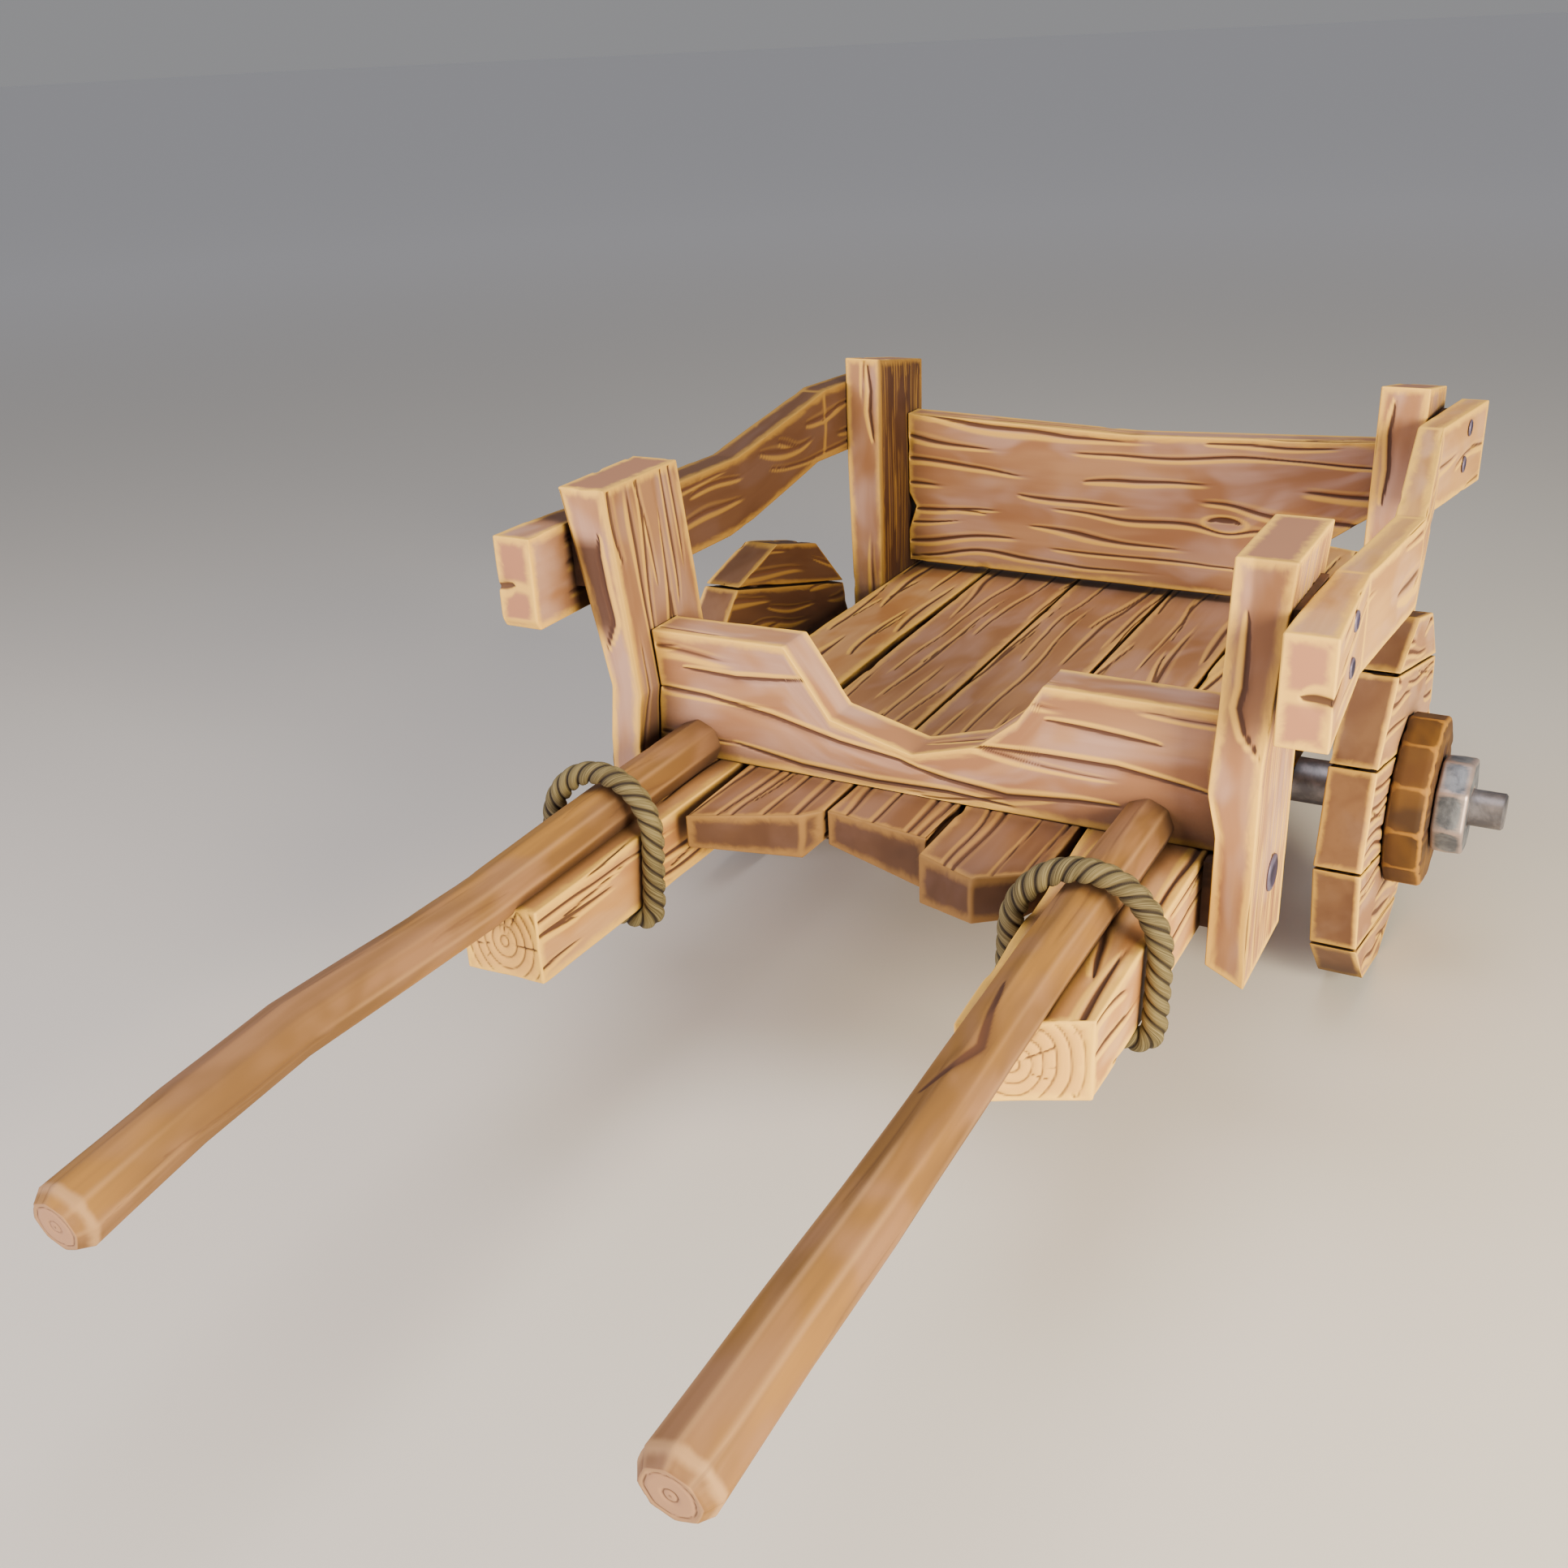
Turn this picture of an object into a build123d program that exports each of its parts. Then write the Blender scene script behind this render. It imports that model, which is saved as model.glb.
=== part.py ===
from build123d import *
import os
from math import cos, sin, radians, sqrt

# Two-wheeled wooden hand cart: plank bed on two long beams, four posts, four
# rough-sawn boards, two pull shafts lashed to the beams, plank disc wheels.
# Millimetres. X is across the cart, -Y is the pulling end, Z is up from the
# ground. Y is first measured from the axle line, then every solid moves by
# AXLE_Y so that the origin lies under the middle of the whole cart.

AXLE_Y = 428.0
AXLE_Z = 282.0

# wheels
WHEEL_R = 282.0          # corner radius of the twelve-sided disc
WHEEL_IN = 496.0         # inner face of the disc
WHEEL_OUT = 561.0        # outer face of the disc
PLANK_TILT = 15.0        # the wheel planks run down towards the tail
PLANK_GAP = 4.0
HUB_R = 130.0
HUB_OUT = 617.0
BUSH_R = 36.0
DOWEL_R = 10.0
DOWEL_OFF = 95.0

# axle
AXLE_R = 35.0
AXLE_HALF = 486.0
JOURNAL_R = 28.0
STUB_R = 27.5
STUB_IN = 666.0
STUB_END = 712.0
RUN_FIT = 0.05
FIT = 0.1

# bed
BEAM_BOT = 312.0
DECK_TOP = 414.0
DECK_THICK = 60.0
POST_FRONT_Y = (-592.0, -403.0)
POST_BACK_Y = (284.0, 466.0)
FRONT_BOARD_Y = (-542.0, -472.0)
BACK_BOARD_Y = (398.0, 443.0)
BOLT_HEAD = 25.0
BOLT_SHANK = 8.0
BOARD_HEAD = 13.0
BOARD_SEAT = 1.5         # the side board bolts sit in a shallow spot face
BOARD_SHANK = 6.0

# eight-sided shafts: (y, x, z, corner radius) from the hand end to the socket
# in the front board; the first two stations make the cut and chamfered tip
TIP_LEAN = 6.0           # degrees; the tip is cut square to the drooping shaft
TIP_Y = -1674.0
TIP_R = 30.0
SHAFT_LINE = [
    (TIP_Y + TIP_R * sin(radians(TIP_LEAN)), 331.0, 411.5, TIP_R),
    (-1657.0, 331.0, 413.0, 39.0),
    (-1512.0, 336.0, 427.0, 37.0),
    (-1362.0, 340.0, 434.0, 36.5),
    (-1212.0, 336.0, 431.0, 36.0),
    (-1062.0, 332.0, 430.0, 36.0),
    (-912.0, 331.0, 434.0, 37.0),
    (-762.0, 332.0, 436.0, 37.0),
    (-612.0, 333.0, 436.0, 37.0),
    (-505.0, 333.0, 436.0, 37.0),
]
ROPE_R = 15.5
ROPE_Y = -806.0
ROPE_LEAN = 6.0

os.makedirs("parts", exist_ok=True)


def save(name, *solids):
    moved = [Pos(0, AXLE_Y, 0) * s for s in solids]
    export_step(moved[0] if len(moved) == 1 else Compound(children=moved), "parts/%s.step" % name)


def prism_z(pts, z0, z1):
    return extrude(Pos(0, 0, z0) * Polygon(*pts, align=None), z1 - z0, dir=(0, 0, 1))


def prism_y(pts, y0, y1):
    face = Plane(origin=(0, y0, 0), x_dir=(1, 0, 0), z_dir=(0, -1, 0)) * Polygon(*pts, align=None)
    return extrude(face, y1 - y0, dir=(0, 1, 0))


def prism_x(pts, x0, x1):
    face = Plane(origin=(x0, 0, 0), x_dir=(0, 1, 0), z_dir=(1, 0, 0)) * Polygon(*pts, align=None)
    return extrude(face, x1 - x0, dir=(1, 0, 0))


def block(x0, x1, y0, y1, z0, z1):
    return Pos((x0 + x1) / 2, (y0 + y1) / 2, (z0 + z1) / 2) * Box(x1 - x0, y1 - y0, z1 - z0)


def rod_x(x0, x1, y, z, r):
    return Pos((x0 + x1) / 2, y, z) * Rot(0, 90, 0) * Cylinder(r, abs(x1 - x0))


def rod_z(x, y, z0, z1, r):
    return Pos(x, y, (z0 + z1) / 2) * Cylinder(r, z1 - z0)


def ngon_x(n, r, x0, x1, y, z, turn):
    pts = [(y + r * cos(radians(turn + 360 * k / n)), z + r * sin(radians(turn + 360 * k / n)))
           for k in range(n)]
    return prism_x(pts, x0, x1)


# ---------------------------------------------------------------- shafts
def shaft(side, grow=0.0, extra=0.0):
    stations = [list(s) for s in SHAFT_LINE]
    stations[-1][0] += extra
    faces = []
    for y, x, z, r in stations:
        lean = radians(TIP_LEAN) if y < -1600 else 0.0
        plane = Plane(origin=(side * x, y, z), x_dir=(1, 0, 0), z_dir=(0, -cos(lean), -sin(lean)))
        faces.append(plane * RegularPolygon(r + grow, 8))
    return loft(faces, ruled=True)


def shaft_point(y):
    for a, b in zip(SHAFT_LINE[:-1], SHAFT_LINE[1:]):
        if a[0] <= y <= b[0]:
            t = (y - a[0]) / (b[0] - a[0])
            return [a[i] + t * (b[i] - a[i]) for i in range(1, 4)]
    return list(SHAFT_LINE[-1][1:])


# ---------------------------------------------------------------- beams
BEAM_PLAN = {
    -1: [(-274, -1024), (-266, -560), (-280, 0), (-280, 818), (-430, 770),
         (-430, -40), (-403, -372), (-403, -612), (-389, -1027)],
    1: [(276, -1029), (410, -964), (412, -549), (412, 768), (249, 818),
        (249, 0), (254, -540)],
}
axle_bed = rod_x(-600, 600, 0, AXLE_Z, AXLE_R + 0.3)


def pierce(solid, *cuts):
    for c in cuts:
        solid = solid - c
    return solid


# round-headed bolts through the post feet into the beams
FOOT_BOLTS = [(-1, -457.0, -485.0, 371.0), (1, 480.0, -485.0, 371.0),
              (-1, -494.0, 405.0, 345.0), (1, 494.0, 405.0, 345.0)]
foot_bolts = []
foot_holes = []
for side, face, y, z in FOOT_BOLTS:
    tip = side * 352.0
    head = rod_x(face, face + side * 5, y, z, BOLT_HEAD)
    head = chamfer(head.edges().filter_by(GeomType.CIRCLE).sort_by(Axis.X)[-1 if side > 0 else 0], 2.5)
    foot_bolts.append(head + rod_x(tip, face, y, z, BOLT_SHANK))
    foot_holes.append(rod_x(tip - side * 0.5, face, y, z, BOLT_SHANK + FIT))

# lag bolts through the side boards into the posts
BOARD_BOLTS = {
    -1: [(-557.0, 738.0, 565.0, 440.0), (-557.0, 693.0, 565.0, 440.0),
         (402.0, 749.0, 548.0, 450.0), (392.0, 694.0, 548.0, 450.0)],
    1: [(-527.0, 731.0, 555.5, 440.0), (-524.0, 673.0, 555.3, 440.0),
        (368.0, 757.0, 553.3, 450.0), (355.0, 702.0, 552.0, 450.0)],
}
board_bolts = []
board_holes = []
for side in (-1, 1):
    for y, z, face, tip in BOARD_BOLTS[side]:
        seat = face - BOARD_SEAT
        head = rod_x(side * seat, side * (face + 4), y, z, BOARD_HEAD)
        head = chamfer(head.edges().filter_by(GeomType.CIRCLE).sort_by(Axis.X)[-1 if side > 0 else 0], 2)
        board_bolts.append(head + rod_x(side * tip, side * seat, y, z, BOARD_SHANK))
        board_holes.append(rod_x(side * (tip - 0.5), side * seat, y, z, BOARD_SHANK + FIT)
                           + rod_x(side * seat, side * (face + 20), y, z, BOARD_HEAD + FIT))

# cross bearers between the beams, spiked through the beams
BEARERS = {"front": (-532.0, -452.0), "middle": (-160.0, -90.0), "back": (335.0, 405.0)}
bearer_spikes = []
spike_holes = []
for y0, y1 in BEARERS.values():
    for side in (-1, 1):
        y = (y0 + y1) / 2
        face = 412.0
        if side < 0:
            face = 430.0 if y > 0 else (403.0 if y < -300 else 410.0)
        if y > 0 or y < -300:
            # the heads are let into the beam so that the posts sit flat on it
            face -= 8.0
        tip = 190.0
        spike = rod_x(side * (face - 6), side * face, y, 334, 9.0)
        spike = spike + rod_x(side * tip, side * (face - 6), y, 334, 5.0)
        bearer_spikes.append(spike)
        spike_holes.append(rod_x(side * (face - 6 - FIT), side * 470, y, 334, 9.0 + FIT))
        spike_holes.append(rod_x(side * (tip - 0.5), side * (face - 6), y, 334, 5.0 + FIT))

# U-straps that hold the axle in its bed under each beam
STRAP_X = {-1: (-370.0, -318.0), 1: (304.0, 356.0)}
strap_screws = []
screw_holes = []
for side in (-1, 1):
    mid = sum(STRAP_X[side]) / 2
    for dx in (-13, 13):
        for y in (-64, 64):
            hexa = Pos(mid + dx, y, 299) * extrude(RegularPolygon(9, 6), 7)
            strap_screws.append(hexa + rod_z(mid + dx, y, 305.5, 360, 5))
            screw_holes.append(rod_z(mid + dx, y, 305, 360.5, 5 + FIT))

# screws from below through the bearers into the deck planks
bearer_screws = []
deck_holes = []
for y0, y1 in BEARERS.values():
    for x in (-225, -140, -50, 30, 120, 205):
        y = (y0 + y1) / 2 + (12 if x in (-140, 30, 205) else -12)
        bearer_screws.append(rod_z(x, y, 310, 314, 8) + rod_z(x, y, 313.5, 388, 4))
        deck_holes.append(rod_z(x, y, 313, 388.5, 4 + FIT))

for side, name in ((-1, "left"), (1, "right")):
    beam = prism_z(BEAM_PLAN[side], BEAM_BOT, DECK_TOP)
    beam = beam - shaft(side, 0.3, 6.0) - axle_bed
    beam = pierce(beam, *[h for h in foot_holes + spike_holes + screw_holes
                          if h.center().X * side > 0])
    save("beam_" + name, beam)
    save("shaft_" + name, shaft(side))

# ---------------------------------------------------------------- deck
PLANKS = {
    "left": [(-248, -722), (-106, -658), (-84, -633), (-103, 472), (-274, 466)],
    "middle": [(-79, -631), (76, -653), (74, 505), (-97, 505)],
    "right": [(85, -696), (170, -729), (224, -693), (246, -646), (243, 482), (81, 480)],
}
# in front of the first bearer the planks are left as thick as they were hewn: (x, thickness)
OVERHANG_Y = -540.0
OVERHANG = {
    "left": [(-260, 47), (-248, 47), (-106, 65), (-84, 47), (-80, 47)],
    "middle": [(-84, 51), (-79, 51), (76, 77), (80, 77)],
    "right": [(80, 71), (85, 71), (170, 65), (246, 60), (250, 60)],
}
for name, plan in PLANKS.items():
    plank = prism_z(plan, DECK_TOP - DECK_THICK, DECK_TOP) - block(-300, 300, -800, OVERHANG_Y, 300, 420)
    under = [(x, DECK_TOP - t) for x, t in OVERHANG[name]]
    front = prism_y([(under[0][0], DECK_TOP)] + under + [(under[-1][0], DECK_TOP)], -800, OVERHANG_Y)
    plank = plank + (front & prism_z(plan, DECK_TOP - 90, DECK_TOP))
    save("deck_plank_" + name, pierce(plank, *deck_holes))

for name, (y0, y1) in BEARERS.items():
    bearer = block(-285, 260, y0, y1, BEAM_BOT + 2, DECK_TOP - DECK_THICK)
    for side in (-1, 1):
        bearer = bearer - prism_z(BEAM_PLAN[side], BEAM_BOT, DECK_TOP)
    bearer = pierce(bearer, *(deck_holes + spike_holes))
    save("cross_bearer_" + name, bearer)

# ---------------------------------------------------------------- posts
POST_FRONT = {
    -1: [(-504, 812), (-443, 526), (-457, 410), (-457, 262), (-403, 272),
         (-403, 435), (-398, 493), (-394, 516), (-409, 654), (-428, 812)],
    1: [(500, 812), (480, 560), (480, 255), (430, 280), (430, 461),
        (417, 516), (423, 621), (429, 812)],
}
POST_BACK = {
    -1: [(-500, 831), (-500, 640), (-494, 372), (-494, 262), (-430, 270), (-430, 831)],
    1: [(500, 831), (500, 640), (494, 372), (494, 262), (427, 270), (427, 831)],
}
# seen from the side, the tops of the back posts fall away towards the tail
BACK_SLOPE = [(280, 250), (470, 250), (470, 799.8), (466, 800.5), (284, 831), (280, 831.7)]
FRONT_BOARD = [
    (-402.5, 414), (-397.5, 493), (-393.5, 516), (-402.5, 600), (-186, 603),
    (-118, 506), (4, 474), (100, 502), (156, 549), (189, 601), (421, 600),
    (416.5, 516), (429.5, 461), (429.5, 414),
]
BACK_BOARD = [(-429.7, 427), (193, 427), (426.7, 600), (426.7, 717), (0, 700), (-429.7, 712),
              (-429.7, 562), (-414.5, 536), (-429.7, 488)]

# hidden dowels between the board ends and the posts
board_dowels = {"front": [], "back": []}
dowel_holes = []
for name, y, spots in (("front", -507.0, [(-1, 398.0, 560.0), (-1, 397.0, 500.0),
                                          (1, 419.0, 560.0), (1, 430.0, 440.0)]),
                       ("back", 420.5, [(-1, 430.0, 455.0), (-1, 430.0, 660.0),
                                        (1, 427.0, 640.0), (1, 427.0, 690.0)])):
    for side, x, z in spots:
        board_dowels[name].append(rod_x(side * (x - 45), side * (x + 25), y, z, 8))
        dowel_holes.append(rod_x(side * (x - 45.5), side * (x + 25.5), y, z, 8 + FIT))

for side, name in ((-1, "left"), (1, "right")):
    cuts = [h for h in foot_holes + board_holes + dowel_holes if h.center().X * side > 0]
    save("post_front_" + name, pierce(prism_y(POST_FRONT[side], *POST_FRONT_Y), *cuts))
    back = prism_y(POST_BACK[side], *POST_BACK_Y) & prism_x(BACK_SLOPE, -600, 600)
    save("post_back_" + name, pierce(back, *cuts))

front_board = prism_y(FRONT_BOARD, *FRONT_BOARD_Y)
front_board = front_board - shaft(-1, 0.3, 0.5) - shaft(1, 0.3, 0.5)
save("front_board", pierce(front_board, *dowel_holes))
save("back_board", pierce(prism_y(BACK_BOARD, *BACK_BOARD_Y), *dowel_holes))
save("front_board_dowels", *board_dowels["front"])
save("back_board_dowels", *board_dowels["back"])

# ---------------------------------------------------------------- side boards
SIDE_TOP = [(478, 779), (211, 790), (-60, 746), (-102, 740), (-341, 744), (-577, 757), (-669, 758)]
SIDE_PROFILE = {
    -1: [(-669, 637), (-661, 625), (-552, 625), (-136, 616), (-60, 625), (168, 668), (478, 656)] + SIDE_TOP,
    1: [(-669, 624), (-136, 614), (-60, 625), (168, 668), (478, 648)] + SIDE_TOP,
}
# the right board is split along its length and weaves in and out
SIDE_PLAN = {
    -1: [(-504, -669), (-565, -669), (-565, -480), (-559, -200), (-548, 200), (-548, 478),
         (-500, 478), (-500, 120), (-504, -120)],
    1: [(504, -669), (565, -669), (547, -400), (566, -112), (536, 205), (565, 478),
        (523, 478), (498, 205), (525, -112), (505, -400)],
}
for side, name in ((-1, "left"), (1, "right")):
    lo, hi = sorted((side * 490, side * 580))
    board = prism_x(SIDE_PROFILE[side], lo, hi) & prism_z(SIDE_PLAN[side], 600, 800)
    save("side_board_" + name, pierce(board, *board_holes))

# wedges that fill the space between the front posts and the side boards and
# behind the right side board, and packers between the post feet and the beams
wedges = [
    prism_y([(-503.9, 752), (-491.3, 752), (-472.6, 664), (-503.9, 664)], -572, -430),
    prism_y([(504.2, 752), (495.3, 752), (488.3, 664), (504.2, 664)], -572, -430),
    prism_z([(500.1, 300), (506.5, 300), (519.2, 440), (500.1, 440)], 680, 770),
]
save("board_wedges", *[pierce(w, *board_holes) for w in wedges])
packers = [block(412, 430, -560, -420, 316, 408), block(412, 427, 300, 430, 316, 408)]
save("foot_packers", *[pierce(p, *(foot_holes + spike_holes)) for p in packers])

save("foot_bolts", *foot_bolts)
save("side_board_bolts", *board_bolts)
save("bearer_spikes", *bearer_spikes)
save("bearer_screws", *bearer_screws)
save("strap_screws", *strap_screws)

# ---------------------------------------------------------------- ropes
for side, name, inner, outer in ((-1, "left", 253.0, 413.5), (1, "right", 248.0, 428.5)):
    half = (outer - inner) / 2
    mid = side * (outer + inner) / 2
    up = 1 / cos(radians(ROPE_LEAN))
    low = BEAM_BOT - ROPE_R - 1.0
    top = shaft_point(ROPE_Y)[1] + shaft_point(ROPE_Y)[2] + ROPE_R + 1.5
    arch = (top - low) * up - half
    loop = Plane(origin=(mid, ROPE_Y, low), x_dir=(1, 0, 0),
                 z_dir=(0, -cos(radians(ROPE_LEAN)), sin(radians(ROPE_LEAN))))
    c = 20.0
    q = c * (1 - sqrt(0.5))
    path = [
        Line((-half + c, 0), (half - c, 0)),
        ThreePointArc((half - c, 0), (half - q, q), (half, c)),
        Line((half, c), (half, arch)),
        ThreePointArc((half, arch), (0, arch + half), (-half, arch)),
        Line((-half, arch), (-half, c)),
        ThreePointArc((-half, c), (-half + q, q), (-half + c, 0)),
    ]
    wire = loop * Wire(path)
    section = Plane(origin=loop.origin, x_dir=(0, 1, 0), z_dir=(1, 0, 0)) * Circle(ROPE_R)
    save("rope_" + name, sweep(section, path=wire, transition=Transition.ROUND))

# ---------------------------------------------------------------- axle
axle = rod_x(-AXLE_HALF, AXLE_HALF, 0, AXLE_Z, AXLE_R)
axle = axle + rod_x(-STUB_IN, STUB_IN, 0, AXLE_Z, JOURNAL_R)
axle = axle + rod_x(-STUB_END, STUB_END, 0, AXLE_Z, STUB_R)
ends = axle.edges().filter_by(GeomType.CIRCLE).sort_by(Axis.X)
axle = chamfer([ends[0], ends[-1]], 3)
save("axle", axle)

for side, name in ((-1, "left"), (1, "right")):
    x0, x1 = STRAP_X[side]
    r0 = AXLE_R + 0.3
    r1 = r0 + 6
    strap = rod_x(x0, x1, 0, AXLE_Z, r1) + block(x0, x1, -r1, r1, AXLE_Z, BEAM_BOT)
    strap = strap + block(x0, x1, -86, 86, BEAM_BOT - 6, BEAM_BOT)
    strap = strap - rod_x(x0, x1, 0, AXLE_Z, r0)
    strap = strap - block(x0, x1, -r0, r0, AXLE_Z, BEAM_BOT + 10)
    strap = strap - block(x0, x1, -90, 90, BEAM_BOT, BEAM_BOT + 20)
    save("axle_strap_" + name, pierce(strap, *screw_holes))

    washer = rod_x(side * 487, side * 495, 0, AXLE_Z, 46)
    save("axle_washer_" + name, washer - rod_x(side * 480, side * 500, 0, AXLE_Z, JOURNAL_R + FIT))
    lo, hi = sorted((side * 618.5, side * 664.5))
    nut = ngon_x(8, 75, lo, hi, 0, AXLE_Z, 10)
    save("axle_nut_" + name, nut - rod_x(lo - 1, hi + 1, 0, AXLE_Z, JOURNAL_R + FIT))

# ---------------------------------------------------------------- wheels
TILT = radians(PLANK_TILT)
ROW_EDGES = [-WHEEL_R * cos(TILT), -WHEEL_R * sqrt(0.5), -WHEEL_R * sin(TILT),
             WHEEL_R * sin(TILT), WHEEL_R * sqrt(0.5), WHEEL_R * cos(TILT)]


def on_wheel(u, w):
    # u runs along the planks towards the tail, w across them
    return (u * cos(TILT) + w * sin(TILT), AXLE_Z - u * sin(TILT) + w * cos(TILT))


def wheel_box(u0, u1, w0, w1, x0, x1):
    pts = [on_wheel(u0, w0), on_wheel(u1, w0), on_wheel(u1, w1), on_wheel(u0, w1)]
    return prism_x(pts, x0, x1)


SCREW_SPOTS = [(55, 95), (-55, 95), (55, -95), (-55, -95), (60, 0), (-60, 0)]
for side, name in ((-1, "left"), (1, "right")):
    x0, x1 = sorted((side * WHEEL_IN, side * WHEEL_OUT))
    xm = (x0 + x1) / 2
    disc = ngon_x(12, WHEEL_R, x0, x1, 0, AXLE_Z, 0)
    bore = rod_x(side * 480, side * 640, 0, AXLE_Z, BUSH_R + FIT)
    dowels = []
    pegs = []
    for u in (-DOWEL_OFF, DOWEL_OFF):
        y, z = on_wheel(u, 0)
        spin = Pos(xm, y, z) * Rot(-PLANK_TILT, 0, 0)
        dowels.append(spin * Cylinder(DOWEL_R, 480))
        pegs.append(spin * Cylinder(DOWEL_R + FIT, 481))
    screws = []
    bores = []
    for u, w in SCREW_SPOTS:
        y, z = on_wheel(u, w)
        screws.append(rod_x(side * (WHEEL_IN - 5), side * WHEEL_IN, y, z, 9)
                      + rod_x(side * WHEEL_IN, side * 600, y, z, 5))
        bores.append(rod_x(side * WHEEL_IN, side * 600.5, y, z, 5 + FIT))
    for k in range(5):
        w0 = ROW_EDGES[k] + (PLANK_GAP / 2 if k > 0 else -5)
        w1 = ROW_EDGES[k + 1] - (PLANK_GAP / 2 if k < 4 else -5)
        plank = disc & wheel_box(-300, 300, w0, w1, x0 - 1, x1 + 1)
        plank = pierce(plank, bore, *(pegs + bores))
        save("wheel_%s_plank_%d" % (name, k + 1), plank)
    h0, h1 = sorted((side * WHEEL_OUT, side * HUB_OUT))
    hub = ngon_x(12, HUB_R, h0, h1, 0, AXLE_Z, 0)
    save("hub_block_" + name, pierce(hub, bore, *bores))
    bush = rod_x(side * 495.5, side * 618, 0, AXLE_Z, BUSH_R)
    save("hub_bush_" + name, bush - rod_x(side * 490, side * 620, 0, AXLE_Z, JOURNAL_R + RUN_FIT))
    save("wheel_dowels_" + name, *dowels)
    save("hub_screws_" + name, *screws)
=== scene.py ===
import bpy
import numpy as np
from math import cos, pi, radians, sin
from mathutils import Matrix, Vector

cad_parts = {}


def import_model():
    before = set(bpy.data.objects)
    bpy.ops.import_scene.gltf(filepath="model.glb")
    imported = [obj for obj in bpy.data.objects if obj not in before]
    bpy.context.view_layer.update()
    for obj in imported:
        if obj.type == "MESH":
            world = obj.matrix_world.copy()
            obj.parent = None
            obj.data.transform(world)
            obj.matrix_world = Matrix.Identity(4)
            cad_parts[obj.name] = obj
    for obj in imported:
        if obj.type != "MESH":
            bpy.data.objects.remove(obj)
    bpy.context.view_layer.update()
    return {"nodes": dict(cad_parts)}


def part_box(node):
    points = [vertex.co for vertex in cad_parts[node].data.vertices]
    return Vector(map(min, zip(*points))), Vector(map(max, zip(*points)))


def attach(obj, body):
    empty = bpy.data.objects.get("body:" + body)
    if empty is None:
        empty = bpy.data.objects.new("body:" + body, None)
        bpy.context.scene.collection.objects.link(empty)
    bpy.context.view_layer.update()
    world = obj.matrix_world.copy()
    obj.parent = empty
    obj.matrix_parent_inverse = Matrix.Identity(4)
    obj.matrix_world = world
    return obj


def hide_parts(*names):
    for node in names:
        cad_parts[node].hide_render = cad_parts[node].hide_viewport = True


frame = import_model()

# Lengths are in millimetres, from the ground under the middle of the axle, until world()
# puts them into the frame's metres.
GRAIN_STEP = 9.0         # mesh step along the grain
CROSS_STEP = 2.7         # mesh step across the grain
RING_GAP = 16.0          # between two year rings
CHECKS = 13              # radial cracks on an end face
SPLIT_DEPTH = 3.2


def span(node, axis, start=0.0):
    """Where the box of a CAD node begins and ends on an axis, in millimetres from start."""
    k = "xyz".index(axis)
    return tuple(round(float(1000 * corner[k]) - start, 1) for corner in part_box(node))


AXLE_Y = sum(span("axle", "y")) / 2
AXLE_Z = sum(span("axle", "z")) / 2
BEAM_BOTTOM, BED_TOP = span("beam_left", "z")
DECK_BOTTOM = BED_TOP - 60.0
FRONT_BOARD_Y = span("front_board", "y", AXLE_Y)
BACK_BOARD_Y = span("back_board", "y", AXLE_Y)
FRONT_Y = span("post_front_left", "y", AXLE_Y)
BACK_Y = span("post_back_left", "y", AXLE_Y)
FRONT_TOP = span("post_front_left", "z")[1]
BACK_TOP = span("post_back_left", "z")[1]
WHEEL_IN, WHEEL_OUT = span("wheel_right_plank_3", "x")
WHEEL_R = AXLE_Z         # the wheel stands on one of its corners
SHAFT_TIP, SHAFT_END = span("shaft_right", "y", AXLE_Y)


def world(p):
    return (p + np.array([0.0, AXLE_Y, 0.0])) / 1000.0


# ---------------- noise
def lattice(i, j, k, seed):
    n = (i * 374761393 + j * 668265263 + k * 1442695041 + seed * 1274126177) & 0xFFFFFFFF
    n = ((n ^ (n >> 13)) * 1274126177) & 0xFFFFFFFF
    return ((n ^ (n >> 16)) & 0xFFFF) / 65535.0


def noise(p, cell, seed):
    """Smooth value noise from -1 to 1 with the given cell size on each axis."""
    q = p / np.asarray(cell, float)
    base = np.floor(q).astype(np.int64)
    f = q - base
    f = f * f * (3 - 2 * f)
    total = np.zeros(len(p))
    for a in (0, 1):
        for b in (0, 1):
            for c in (0, 1):
                w = (f[:, 0] if a else 1 - f[:, 0]) * (f[:, 1] if b else 1 - f[:, 1])
                w = w * (f[:, 2] if c else 1 - f[:, 2])
                total += w * lattice(base[:, 0] + a, base[:, 1] + b, base[:, 2] + c, seed)
    return total * 2 - 1


def smooth(x, lo, hi):
    t = np.clip((x - lo) / (hi - lo), 0, 1)
    return t * t * (3 - 2 * t)


# ---------------- meshes
def mesh_object(name, p, quads, gp, edge, tris=(), **drawn):
    """A smooth mesh with vertex attributes for the materials.

    gp is the place in the grain and edge how far the nearest arris is. drawn holds split, rim,
    endg and tone, each from 0 to 1: dark split with painted shade beside the long splits, pale line of
    painted highlight and wear, sawn end and painted shade."""
    me = bpy.data.meshes.new(name)
    faces = [[int(i) for i in face] for face in (*quads, *tris)]
    me.from_pydata(world(p).tolist(), [], faces)
    me.polygons.foreach_set("use_smooth", [True] * len(me.polygons))
    zero = np.zeros(len(p))
    attrs = {"gp": gp / 1000, "edge": edge / 1000, "split": zero, "rim": zero, "endg": zero, **drawn}
    for key, values in attrs.items():
        if values.ndim == 2:
            layer = me.attributes.new(key, "FLOAT_VECTOR", "POINT")
            layer.data.foreach_set("vector", values.astype(np.float32).ravel())
        else:
            layer = me.attributes.new(key, "FLOAT", "POINT")
            layer.data.foreach_set("value", values.astype(np.float32))
    me.update()
    ob = bpy.data.objects.new(name, me)
    bpy.context.scene.collection.objects.link(ob)
    return ob


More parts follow.
